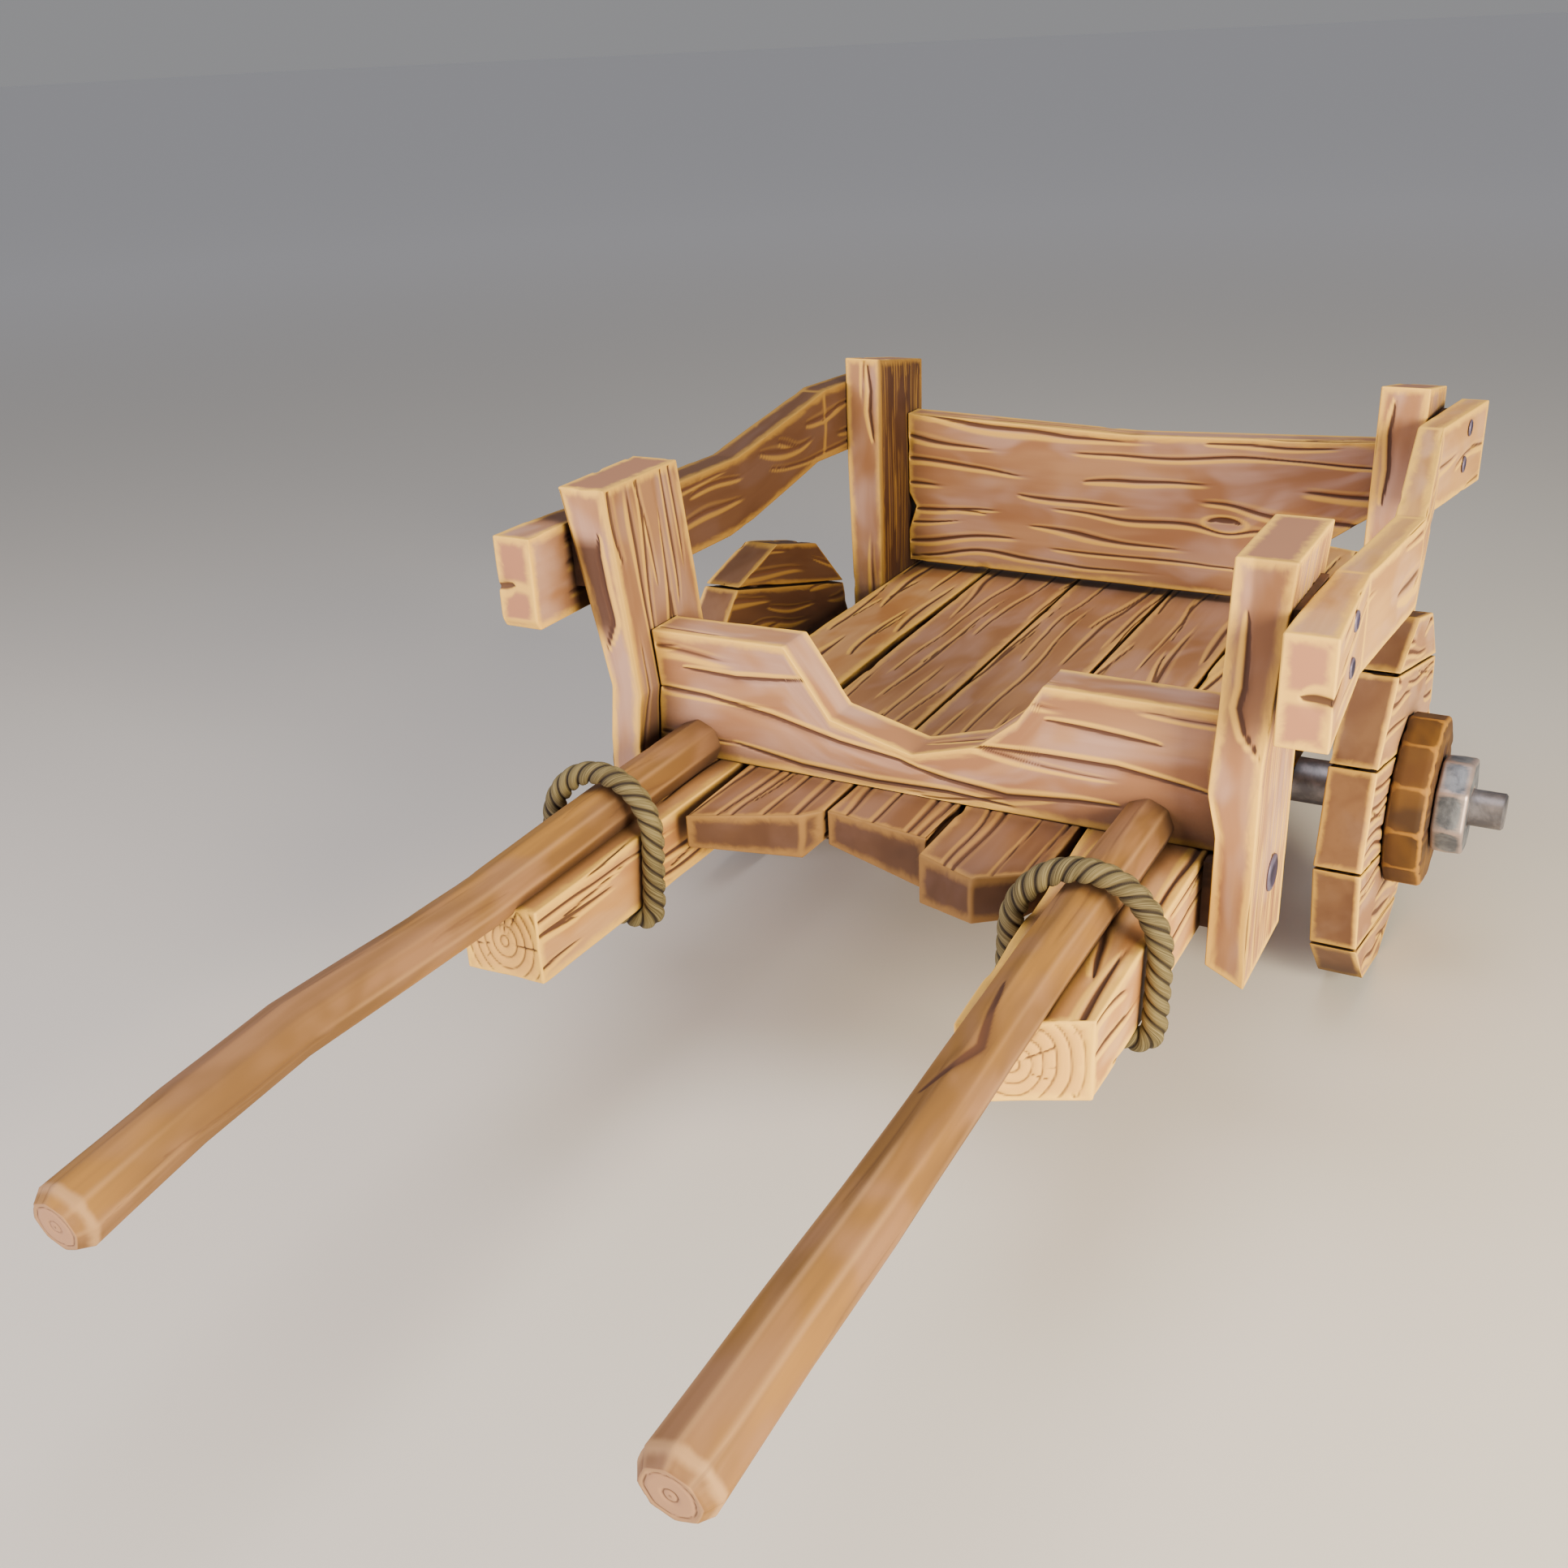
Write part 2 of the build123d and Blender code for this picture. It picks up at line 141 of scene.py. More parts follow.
def finish_piece(ob, body, nodes, material):
    ob.data.materials.append(material)
    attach(ob, body)
    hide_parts(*nodes)


def outward(p, quads, middle):
    """Quads turned to face away from the middle, and the vertex normals."""
    d1 = p[quads[:, 2]] - p[quads[:, 0]]
    d2 = p[quads[:, 3]] - p[quads[:, 1]]
    fn = np.cross(d1, d2)
    n = np.zeros_like(p)
    for k in range(4):
        np.add.at(n, quads[:, k], fn)
    n = n / np.maximum(np.linalg.norm(n, axis=1, keepdims=True), 1e-9)
    if np.einsum("ij,ij->", n, p - middle) < 0:
        return quads[:, ::-1].copy(), -n
    return quads, n


def axis_steps(half, r, step, kinks=()):
    """Grid lines from -half to half: close together at the rounded arris, and one on each kink."""
    inner = half - r
    mid = np.linspace(-inner, inner, max(2, int(round(2 * inner / step))) + 1)
    fixed = [k for k in kinks if abs(k) < inner - 3]
    fixed += [s * (inner - b) for b in (3.0, 7.0) for s in (-1, 1) if b < inner]
    if fixed:
        near = np.abs(mid[:, None] - np.array(fixed)[None, :]).min(axis=1)
        keep = (near > 1.3) | (np.abs(mid) > inner - 1e-6)
        mid = np.concatenate([mid[keep], fixed])
    mid = np.unique(np.round(mid, 3))
    rim = [r * np.tan(radians(a)) for a in (15, 30, 45)]
    return np.concatenate([[-inner - t for t in rim[::-1]], mid, [inner + t for t in rim]])


def box_surface(axes):
    """Points and quads of a box whose grid lines on each axis are given."""
    pts, quads, base = [], [], 0
    for k in range(3):
        i, j = (k + 1) % 3, (k + 2) % 3
        a, b = np.meshgrid(axes[i], axes[j], indexing="ij")
        for end in (0, -1):
            p = np.empty(a.shape + (3,))
            p[..., i], p[..., j], p[..., k] = a, b, axes[k][end]
            idx = base + np.arange(a.size).reshape(a.shape)
            q = np.stack([idx[:-1, :-1], idx[1:, :-1], idx[1:, 1:], idx[:-1, 1:]], -1).reshape(-1, 4)
            quads.append(q if end else q[:, ::-1])
            pts.append(p.reshape(-1, 3))
            base += a.size
    pts, quads = np.concatenate(pts), np.concatenate(quads)
    _, first, inv = np.unique(np.round(pts * 1000).astype(np.int64), axis=0,
                              return_index=True, return_inverse=True)
    return pts[first], inv.reshape(-1)[quads]


def profile(t, spec):
    """spec is one number, or (position, value) points joined by straight lines."""
    if isinstance(spec, (int, float)):
        return np.full(len(t), float(spec))
    xs, ys = zip(*spec)
    return np.interp(t, xs, ys)


def strokes(u, v, size, seed, density, eyes=(), fine=0, sway=1.0, stretch=1.0):
    """Splits on one face: tapering swooshes in lanes along a wavy grain. (split, pale rim of painted
    highlight), 0 to 1.

    u runs along the grain and v across it, in millimetres; size is the face's (length, width).
    eyes are knots: (along, across, half length, half width) from the face's middle.
    fine is the lane width of close edge grain, or 0 for bold splits. stretch makes the splits
    longer and thinner, sway the grain wavier."""
    rng = np.random.RandomState(seed)
    flat = np.stack([u, v, np.zeros_like(u)], 1)
    sway = 0.35 if fine else sway
    flow = v + 17.0 * sway * noise(flat, (250, 80, 1), seed)
    flow = flow + 5.0 * sway * noise(flat, (95, 40, 1), seed + 1)
    split, rim = np.zeros_like(u), np.zeros_like(u)
    for eu, ev, ru, rv in eyes:
        fall = np.exp(-((u - eu) / (1.5 * ru)) ** 2)
        off = v - ev
        flow = flow - np.tanh(off / (0.4 * rv)) * 1.3 * rv * fall * np.exp(-(off / (3.5 * rv)) ** 2)
        around = np.hypot((u - eu) / ru, off / rv)
        ring = np.exp(-((around - 1) * rv / 2.2) ** 2)
        split = np.maximum(split, ring * (0.55 + 0.45 * np.sign(off)))
        rim = np.maximum(rim, np.exp(-((around - 1.6) * rv / 2.6) ** 2) * 0.8)
    pitch = fine if fine else 34.0 / density
    lanes = max(1, int(round(size[1] / pitch)))
    marks = []
    for lane in range(lanes):
        centre = ((lane + 0.5) / lanes - 0.5) * size[1]
        at = -0.5 * size[0] - rng.uniform(0, 220)
        while at < 0.5 * size[0]:
            if fine:
                length = rng.uniform(130, 380)
                wide = (0.5 + 0.04 * fine) * rng.uniform(0.8, 1.4)
            else:
                length = rng.uniform(170, 480) * stretch
                wide = rng.uniform(1.7, 3.4) / stretch ** 0.5
            drift = centre + rng.uniform(-0.3, 0.3) * size[1] / lanes
            bow = rng.uniform(-2, 2) if fine else rng.uniform(-9, 9)
            middle = at + length / 2
            marks.append((middle, drift, length, wide, rng.uniform(-0.03, 0.03), bow))
            if not fine and rng.uniform() < 0.4:      # a short branch
                marks.append((middle + rng.uniform(-40, 40), drift + rng.uniform(-7, 7), 0.4 * length,
                              0.7 * wide, rng.choice([-1, 1]) * rng.uniform(0.10, 0.18) * sway, 0.0))
            at += length + (rng.uniform(10, 120) if fine else rng.uniform(20, 170) / density)
    for uc, vc, length, wide, slope, bow in marks:
        t = (u - uc) / (length / 2)
        t = t + 0.3 * (1 - np.clip(t * t, 0, 1))
        taper = np.clip(1 - t * t, 0, 1)
        w = wide * taper ** 0.8 + 0.5
        d = flow - (vc + slope * (u - uc) + bow * (1 - t * t))
        shown = smooth(taper, 0.02, 0.4)
        split = np.maximum(split, np.exp(-(d / w) ** 2) * shown * (0.7 if fine else 1.0))
        # the pale rim is a painted highlight, stronger on one side of the split
        side = np.where(d < 0, 1.0, 0.45)
        beside = (np.abs(d) - 2.1 * w - 1.6) / (0.8 * w + 1.5)
        rim = np.maximum(rim, side * np.exp(-beside ** 2) * shown)
    return split, rim


def crack(u, v, path, wide):
    """A long split along a bent line of points, with a soft painted shade on one side, returned in the
    split value, and a pale rim of painted highlight on the other. (split, pale rim).
    """
    path = np.array(path, float)
    steps = np.linalg.norm(np.diff(path, axis=0), axis=1)
    start = np.concatenate([[0], np.cumsum(steps)])
    best, at, side = np.full(len(u), 1e9), np.zeros(len(u)), np.ones(len(u))
    for (a, b), length, s0 in zip(zip(path[:-1], path[1:]), steps, start):
        along = (b - a) / length
        du, dv = u - a[0], v - a[1]
        t = np.clip(du * along[0] + dv * along[1], 0, length)
        d = np.hypot(du - t * along[0], dv - t * along[1])
        near = d < best
        best = np.where(near, d, best)
        at = np.where(near, (s0 + t) / start[-1], at)
        side = np.where(near, np.sign(du * along[1] - dv * along[0]), side)
    swell = np.clip(4 * at * (1 - at), 0, 1) ** 0.6
    w = wide * swell + 0.4
    core = np.exp(-(best / w) ** 2)
    shade = 0.42 * np.exp(-(best / (3.2 * w + 2)) ** 2) * (side > 0) * swell
    beside = (best - 1.9 * w - 1.5) / (0.9 * w + 1.5)
    rim = np.exp(-beside ** 2) * (side < 0) * smooth(swell, 0.0, 0.3)
    return np.maximum(core * smooth(swell, 0.0, 0.35), shade), rim


def bend_places(specs):
    return [x for spec in specs if not isinstance(spec, (int, float)) for x, _ in spec]


def timber(name, material, order, ends, sides, thick, seed, body="cart", place=None, r=4.0,
           density=1.0, eyes=(), bore=None, pith=None, fine_sides=0, side_density=None, creases=(),
           tone=0.0, cracks=(), grid=(GRAIN_STEP, CROSS_STEP), sway=1.0, stretch=1.0, quiet=None):
    """One sawn piece, for the CAD node of its name.

    order names the axes along, across and through the grain.
    ends give where it starts and stops against the place across, 0 to 1; sides and thick its two
    edges and two faces against the place along. r is the rounding of its arrises.
    eyes are knots: (sign of the wide face, along, across, half length, half width).
    fine_sides is the lane width of the narrow faces' grain, or None for plain narrow faces.
    creases are places along with a pale line across, wear with a painted highlight on the bend.
    cracks are long splits: (0 end, 1 narrow or 2 wide face, its sign, width, path in real places).
    tone is painted shade that darkens the piece: a number, or a function of the points and of how far
    each is on an end face. quiet is the stretch along the grain over which the splits set in.
    pith is the centre of the year rings on the ends. bore is what drill() takes."""
    a0, a1 = (float(profile(np.array([0.5]), e)[0]) for e in ends)
    centre = (a0 + a1) / 2
    bends = np.array([centre] + bend_places((*sides, *thick)))
    half = np.array([abs(a1 - a0), np.abs(profile(bends, sides[1]) - profile(bends, sides[0])).max(),
                     np.abs(profile(bends, thick[1]) - profile(bends, thick[0])).max()]) / 2
    kinks = [(x - centre) * (1 if a1 > a0 else -1) for x in bends[1:]]
    box, quads = box_surface([axis_steps(half[0], r, grid[0], kinks), axis_steps(half[1], r, grid[1]),
                              axis_steps(half[2], r, CROSS_STEP)])
    endg = smooth(r + 0.5 - (half[0] - np.abs(box[:, 0])), 0, r * 0.5)
    # wear: the arris is rounder in some places than in others
    wear = r * (0.65 + 0.35 * noise(box, (60, 60, 60), seed + 20))[:, None]
    core = np.clip(box, -(half - wear), half - wear)
    d = box - core
    length = np.linalg.norm(d, axis=1, keepdims=True)
    worn = core + wear * d / np.maximum(length, 1e-9)
    flat = (np.abs(d) > 1e-6).sum(axis=1) < 2
    worn[flat] = box[flat]
    t = (worn / half + 1) / 2
    along = profile(t[:, 1], ends[0]) * (1 - t[:, 0]) + profile(t[:, 1], ends[1]) * t[:, 0]
    across = profile(along, sides[0]) * (1 - t[:, 1]) + profile(along, sides[1]) * t[:, 1]
    through = profile(along, thick[0]) * (1 - t[:, 2]) + profile(along, thick[1]) * t[:, 2]
    spread = np.stack([np.full(len(box), half[0]),
                       np.abs(profile(along, sides[1]) - profile(along, sides[0])) / 2,
                       np.abs(profile(along, thick[1]) - profile(along, thick[0])) / 2], 1)
    real = box / half * spread
    edge = np.sort(spread - np.abs(real), axis=1)[:, 1]
    p = np.empty_like(worn)
    for axis, values in zip(order, (along, across, through)):
        p[:, "xyz".index(axis)] = values
    if place:
        p = place(p)
    split, rim = np.zeros(len(p)), np.zeros(len(p))
    for k, other in ((1, 2), (2, 1)):
        for sign in (-1, 1):
            if k == 1 and fine_sides is None:
                continue
            face = sign * box[:, k] > half[k] - r
            here = [e[1:] for e in eyes if k == 2 and e[0] == sign]
            level = (through if other == 2 else across)[face]
            level = level - (level.max() + level.min()) / 2
            face_density = side_density if side_density and k == 1 else density
            got = strokes(box[face, 0], level, 2 * half[[0, other]], seed * 10 + 2 * k + sign,
                          face_density, here, fine_sides if k == 1 else 0, sway, stretch)
            split[face] = np.maximum(split[face], got[0])
            rim[face] = np.maximum(rim[face], got[1])
    fade = 1 - endg
    if quiet:
        split, rim = split * smooth(along, *quiet), rim * smooth(along, *quiet)
    split, rim = split * fade, rim * fade * smooth(edge, 2, 7)
    for k, sign in sorted({c[:2] for c in cracks}):      # the small splits fade beside a long one
        split[sign * box[:, k] > half[k] - r - 0.5] *= 0.6
    for k, sign, wide, path in cracks:
        face = sign * box[:, k] > half[k] - r - 0.5
        plane = {0: (across, through), 1: (along, through), 2: (along, across)}[k]
        got = crack(plane[0][face], plane[1][face], path, wide)
        split[face] = np.maximum(split[face], got[0])
        rim[face] = np.maximum(rim[face], got[1])
        if k == 0:
            off = plane[0][face] - np.mean(path, axis=0)[0]
            off = off + 2.5 * noise(box[face], (30, 30, 30), seed + 12)
            rim[face] = np.maximum(rim[face], np.exp(-(off / 9.0) ** 2))
    for spec, sign in zip(ends, (-1, 1)):                # pale arrises where an end is broken
        for at in () if isinstance(spec, (int, float)) else spec[1:-1]:
            off = (t[:, 1] - at[0]) * 2 * spread[:, 1] + 2.5 * noise(box, (30, 30, 30), seed + 12)
            rim = np.maximum(rim, endg * (sign * box[:, 0] > 0) * np.exp(-(off / 4.5) ** 2))
    # a pale line across each crease: wear with a painted highlight on the bend
    for crease in creases:
        off = along - crease + 5.0 * noise(box, (60, 60, 60), seed + 11)
        rim = np.maximum(rim, np.exp(-(off / 5.0) ** 2) * fade)
        split = split * (1 - 0.6 * np.exp(-(off / 6.0) ** 2))
    if pith:
        v, w = box[:, 1] - pith[0], box[:, 2] - pith[1]
        rad = np.hypot(v, w) + 3.0 * noise(box, (30, 30, 30), seed + 8)
        ring = np.exp(-((np.mod(rad, RING_GAP) - RING_GAP / 2) / 2.3) ** 2)
        ring = ring * smooth(rad, 120, 80) * 0.55
        spoke = np.arctan2(w, v) * CHECKS / (2 * pi) + 0.3 * noise(box, (30, 30, 30), seed + 9)
        off = np.abs(spoke - np.round(spoke)) * rad * 2 * pi / CHECKS
        reach = noise(np.stack([np.round(spoke) * 31.0, rad, rad * 0], 1), (31, 22, 1), seed + 7)
        reach = smooth(reach, -0.3, 0.3)
        star = np.exp(-(off / 1.5) ** 2) * smooth(rad, 8, 20) * reach
        split = np.maximum(split, endg * smooth(edge, 1, 6) * np.maximum(ring, 0.7 * star))
    quads, normal = outward(p, quads, p.mean(axis=0))
    chip = smooth(noise(box, (46, 26, 26), seed + 5), 0.45, 0.9) * smooth(edge, 14, 2) * 2.4
    wave = (0.5 + 0.5 * noise(box, (150, 50, 50), seed + 6)) * 0.7
    sink = SPLIT_DEPTH * split + chip + wave * smooth(edge, 0, 10)
    p = p - normal * sink[:, None]
    gp = box + np.random.RandomState(seed).uniform(-4000, 4000, 3)
    # painted shade, kept in the tone attribute
    dark = tone(p, endg) if callable(tone) else np.full(len(p), tone)
    ob = mesh_object(name, p, quads, gp, edge, split=split, rim=rim, endg=endg, tone=dark)
    if bore:
        drill(ob, *bore)
    finish_piece(ob, body, [name], material)


def drill(ob, x0, x1, radius):
    """Cuts a round hole round the axle."""
    bpy.ops.mesh.primitive_cylinder_add(vertices=72, radius=radius / 1000, depth=abs(x1 - x0) / 1000,
                                        rotation=(0, pi / 2, 0))
    tool = bpy.context.object
    tool.location = Vector(world(np.array([(x0 + x1) / 2, 0.0, AXLE_Z])))
    mod = ob.modifiers.new("bore", "BOOLEAN")
    mod.object = tool
    mod.solver = "EXACT"
    bpy.context.view_layer.update()
    dg = bpy.context.evaluated_depsgraph_get()
    cut = bpy.data.meshes.new_from_object(ob.evaluated_get(dg))
    ob.modifiers.clear()
    old = ob.data
    ob.data = cut
    bpy.data.meshes.remove(old)
    bpy.data.objects.remove(tool)


def ring_faces(rings, around, closed):
    """Quads between rings of points; closed joins the last ring to the first."""
    count = rings if closed else rings - 1
    i = np.arange(count)[:, None]
    j = np.arange(around)[None, :]
    a = i * around + j
    b = i * around + (j + 1) % around
    c = ((i + 1) % rings) * around + (j + 1) % around
    d = ((i + 1) % rings) * around + j
    return np.stack([a, b, c, d], -1).reshape(-1, 4)


def ngon(theta, n, turn=0.0):
    """Radius of a unit regular polygon in direction theta."""
    step = 2 * pi / n
    local = np.mod(theta - turn, step) - step / 2
    return cos(step / 2) / np.cos(local)


def lathe_x(name, material, outline, sides, turn, seed, body, grain=None, dent=0.6):
    """A many-sided block round the axle.

    outline goes round the section: (x, radius, 0 for round to 1 for many-sided, how far the
    nearest arris is). grain is the direction of the grain on its flat faces."""
    around = 96
    theta = np.linspace(0, 2 * pi, around, endpoint=False)
    poly = ngon(theta, sides, turn)
    rings = []
    for x, radius, shaped, _ in outline:
        rad = radius * (shaped * poly + (1 - shaped))
        rings.append(np.stack([np.full(around, float(x)), rad * np.cos(theta),
                               AXLE_Z + rad * np.sin(theta)], 1))
    p = np.concatenate(rings)
    radius, shaped, edge = (np.repeat([float(o[k]) for o in outline], around) for k in (1, 2, 3))
    step = 2 * pi / sides
    arris = np.tile(np.abs(np.mod(theta - turn + step / 2, step) - step / 2), len(outline))
    rad = np.hypot(p[:, 1], p[:, 2] - AXLE_Z)
    outer = radius >= radius.max() * 0.93
    edge = np.where((shaped > 0.5) & outer, np.minimum(edge, arris * rad), edge)
    middle = np.array([np.mean([o[0] for o in outline]), 0.0, AXLE_Z])
    quads, normal = outward(p, ring_faces(len(outline), around, True), middle)
    g = p[:, [1, 2, 0]] - np.array([0, AXLE_Z, 0])
    if grain is not None:
        c, s = cos(grain), sin(grain)
        g = np.stack([g[:, 0] * c + g[:, 1] * s, -g[:, 0] * s + g[:, 1] * c, g[:, 2]], 1)
    sink = (0.5 + 0.5 * noise(g, (25, 25, 25), seed)) * dent
    split = rim = np.zeros(len(p))
    if grain is not None:
        split, rim = strokes(g[:, 0], g[:, 1], (260.0, 260.0), seed, 1.3)
        face = smooth(np.abs(normal[:, 0]), 0.6, 0.95) * smooth(np.hypot(g[:, 0], g[:, 1]), 36, 50)
        split, rim = 0.8 * split * face, 0.5 * rim * face
        sink = sink + 2.6 * split
    chip = smooth(noise(g, (22, 22, 22), seed + 5), 0.2, 0.8) * smooth(edge, 14, 1) * 3.0 * dent
    p = p - normal * (sink + chip)[:, None]
    ob = mesh_object(name, p, quads, g + seed * 13.7, edge, split=split, rim=rim)
    finish_piece(ob, body, [name], material)


# ---------------- materials
class Graph:
    """A material's shader nodes, built up with a few short calls."""

    def __init__(self, name):
        self.mat = bpy.data.materials.new(name)
        self.mat.use_nodes = True
        self.nodes = self.mat.node_tree.nodes
        self.links = self.mat.node_tree.links
        self.nodes.clear()
        out = self.nodes.new("ShaderNodeOutputMaterial")
        self.bsdf = self.nodes.new("ShaderNodeBsdfPrincipled")
        self.links.new(self.bsdf.outputs[0], out.inputs[0])

    def put(self, socket, value):
        if isinstance(value, bpy.types.NodeSocket):
            self.links.new(value, socket)
        elif isinstance(value, tuple) and len(value) == 3 and socket.type == "RGBA":
            socket.default_value = (*value, 1.0)
        else:
            socket.default_value = value

    def attr(self, name, out):
        n = self.nodes.new("ShaderNodeAttribute")
        n.attribute_name = name
        return n.outputs[out]

    def noise(self, vector, scale, detail=3.0, rough=0.5, warp=0.0):
        m = self.nodes.new("ShaderNodeMapping")
        self.put(m.inputs["Vector"], vector)
        m.inputs["Scale"].default_value = scale
        n = self.nodes.new("ShaderNodeTexNoise")
        self.links.new(m.outputs[0], n.inputs["Vector"])
        n.inputs["Scale"].default_value = 1.0
        n.inputs["Detail"].default_value = detail
        n.inputs["Roughness"].default_value = rough
        n.inputs["Distortion"].default_value = warp
        return n.outputs["Fac"]

    def math(self, op, a, b=0.0, c=0.0):
        n = self.nodes.new("ShaderNodeMath")
        n.operation = op
        for socket, value in zip(n.inputs, (a, b, c)):
            self.put(socket, value)
        return n.outputs[0]

    def ramp(self, value, lo, hi, to_lo=0.0, to_hi=1.0):
        n = self.nodes.new("ShaderNodeMapRange")
        n.interpolation_type = "SMOOTHSTEP"
        names = ("Value", "From Min", "From Max", "To Min", "To Max")
        for key, v in zip(names, (value, lo, hi, to_lo, to_hi)):
            self.put(n.inputs[key], v)
        return n.outputs["Result"]

    def mix(self, fac, a, b, blend="MIX"):
        n = self.nodes.new("ShaderNodeMix")
        n.data_type = "RGBA"
        n.blend_type = blend
        self.put(n.inputs[0], fac)
        self.put(n.inputs[6], a)
        self.put(n.inputs[7], b)
        return n.outputs[2]

    def bump(self, height, distance):
        n = self.nodes.new("ShaderNodeBump")
        n.inputs["Distance"].default_value = distance
        n.inputs["Strength"].default_value = 0.6
        self.links.new(height, n.inputs["Height"])
        self.links.new(n.outputs[0], self.bsdf.inputs["Normal"])

    def shaded(self, color, dark, reach):
        """Painted shade in the corners, where little sky is seen."""
        n = self.nodes.new("ShaderNodeAmbientOcclusion")
        n.samples = 6
        n.inputs["Distance"].default_value = reach
        return self.mix(self.ramp(n.outputs["AO"], 0.15, 0.88, 0.92, 0.0), color, dark)

    def done(self, color, rough, metal=0.0):
        self.put(self.bsdf.inputs["Base Color"], color)
        self.put(self.bsdf.inputs["Roughness"], rough)
        self.put(self.bsdf.inputs["Metallic"], metal)
        return self.mat


def rgb(r, g, b):
    """A colour given as it looks on screen, 0 to 255, as linear light."""
    return tuple(((c / 255 + 0.055) / 1.055) ** 2.4 if c > 10 else c / 3295 for c in (r, g, b))


# pale cream for the arrises and the rims beside the splits: wear with a painted highlight
CREAM = rgb(254, 202, 88)
SPLIT = rgb(76, 44, 28)
# painted shade in the corners, laid on by Graph.shaded
PAINTED_CORNER_SHADE = rgb(52, 30, 20)
SHADE = rgb(102, 84, 70)         # what the tone attribute multiplies a piece's colour by


def wood(name, face, deep, blush, cream=CREAM, split=SPLIT, edge_width=0.009, end=None,
         streak=0.3):
    """Painted wood: face with clouds of deep and blush, cream on the worn arrises as wear with a
    painted highlight, and beside the splits as a painted highlight, end on the sawn ends. edge_width is
    in metres."""
    m = Graph(name)
    gp = m.attr("gp", "Vector")
    broad = m.noise(gp, (2.6, 10.0, 10.0), 2.0, 0.5, 0.8)
    cloud = m.noise(gp, (7.0, 14.0, 14.0), 2.0, 0.5, 0.4)
    fine = m.noise(gp, (4.0, 60.0, 60.0), 2.0, 0.5, 0.3)
    patch = m.noise(gp, (18.0, 40.0, 40.0), 3.0, 0.6, 0.8)
    color = m.mix(m.ramp(broad, 0.36, 0.64), face, deep)
    color = m.mix(m.ramp(cloud, 0.42, 0.66, 0.0, 0.8), color, blush)
    color = m.mix(m.ramp(fine, 0.40, 0.75, 0.0, streak), color, deep)
    if end:
        color = m.mix(m.attr("endg", "Fac"), color, end)
    # painted shade from the tone attribute; the pale arrises take less of it
    tone = m.attr("tone", "Fac")
    color = m.mix(tone, color, SHADE, "MULTIPLY")
    pale = m.mix(m.math("MULTIPLY", tone, 0.8), cream, SHADE, "MULTIPLY")
    ragged = m.math("SUBTRACT", patch, 0.5)
    edge = m.math("MULTIPLY_ADD", ragged, edge_width * 1.8, m.attr("edge", "Fac"))
    # cream on the arrises, wear with a painted highlight, and on the rims, a painted highlight
    color = m.mix(m.ramp(edge, edge_width * 1.7, edge_width * 0.3, 0.0, 0.95), color, pale)
    color = m.mix(m.ramp(m.attr("rim", "Fac"), 0.10, 0.9, 0.0, 0.85), color, pale)
    color = m.mix(m.ramp(m.attr("split", "Fac"), 0.16, 0.66, 0.0, 0.96), color, split)
    # painted shade in the corners, where little sky is seen
    return m.done(m.shaded(color, PAINTED_CORNER_SHADE, 0.11), 0.7)


def metal(name, face, deep, worn, rough=0.45, metallic=0.85):
    """Mottled metal with worn arrises, for the pieces made here."""
    m = Graph(name)
    gp = m.attr("gp", "Vector")
    broad = m.noise(gp, (30.0, 30.0, 30.0), 4.0, 0.6, 0.4)
    color = m.mix(m.ramp(broad, 0.35, 0.65), face, deep)
    edge = m.math("MULTIPLY_ADD", m.math("SUBTRACT", broad, 0.5), 0.008, m.attr("edge", "Fac"))
    color = m.mix(m.ramp(edge, 0.006, 0.001, 0.0, 0.9), color, worn)
    m.bump(broad, 0.0006)
    return m.done(color, rough, metallic)


def plain(name, face, deep, rough, metallic=0.0):
    """Two mottled colours, for the CAD solids, which have no vertex attributes."""
    m = Graph(name)
    coord = m.nodes.new("ShaderNodeTexCoord").outputs["Object"]
    broad = m.noise(coord, (25.0, 25.0, 25.0), 4.0, 0.6, 0.4)
    m.bump(broad, 0.0006)
    return m.done(m.mix(m.ramp(broad, 0.35, 0.65), face, deep), rough, metallic)


BLUSH = rgb(200, 160, 142)
BOARD = wood("board_wood", rgb(194, 146, 106), rgb(168, 118, 80), BLUSH, split=rgb(88, 54, 36),
             end=rgb(186, 128, 94))
POST = wood("post_wood", rgb(190, 142, 102), rgb(164, 114, 76), BLUSH, end=rgb(168, 120, 92))
DECK = wood("deck_wood", rgb(178, 130, 88), rgb(156, 108, 68), rgb(184, 140, 116),
            cream=rgb(226, 174, 92), split=rgb(94, 60, 40))
BEAM = wood("beam_wood", rgb(212, 156, 86), rgb(186, 128, 68), rgb(220, 172, 120),
            end=rgb(236, 180, 88))
SHAFT = wood("shaft_wood", rgb(154, 110, 46), rgb(112, 78, 36), rgb(146, 106, 74),
             cream=rgb(176, 136, 92), edge_width=0.005, end=rgb(190, 144, 106), streak=0.5)
# painted light: a lighter, yellower copy of the board wood for the right side board, which the light
# falls on
LIT_SIDE_WOOD = wood("side_wood", rgb(214, 164, 100), rgb(188, 138, 82), rgb(214, 168, 132),
            end=rgb(190, 132, 96))
WHEEL = wood("wheel_wood", rgb(196, 148, 104), rgb(164, 116, 78), rgb(198, 156, 126),
             split=rgb(96, 60, 38), edge_width=0.006)
HUB = wood("hub_wood", rgb(114, 78, 14), rgb(62, 38, 8), rgb(88, 54, 10), cream=rgb(166, 118, 40),
           edge_width=0.0025, streak=0.0)
STEEL = metal("collar_steel", rgb(150, 156, 166), rgb(104, 110, 122), rgb(206, 186, 180))
IRON = metal("fastener_iron", rgb(66, 60, 100), rgb(40, 36, 66), rgb(120, 112, 140), 0.5, 0.5)
AXLE = plain("axle_steel", rgb(150, 146, 152), rgb(104, 104, 112), 0.45, 0.8)
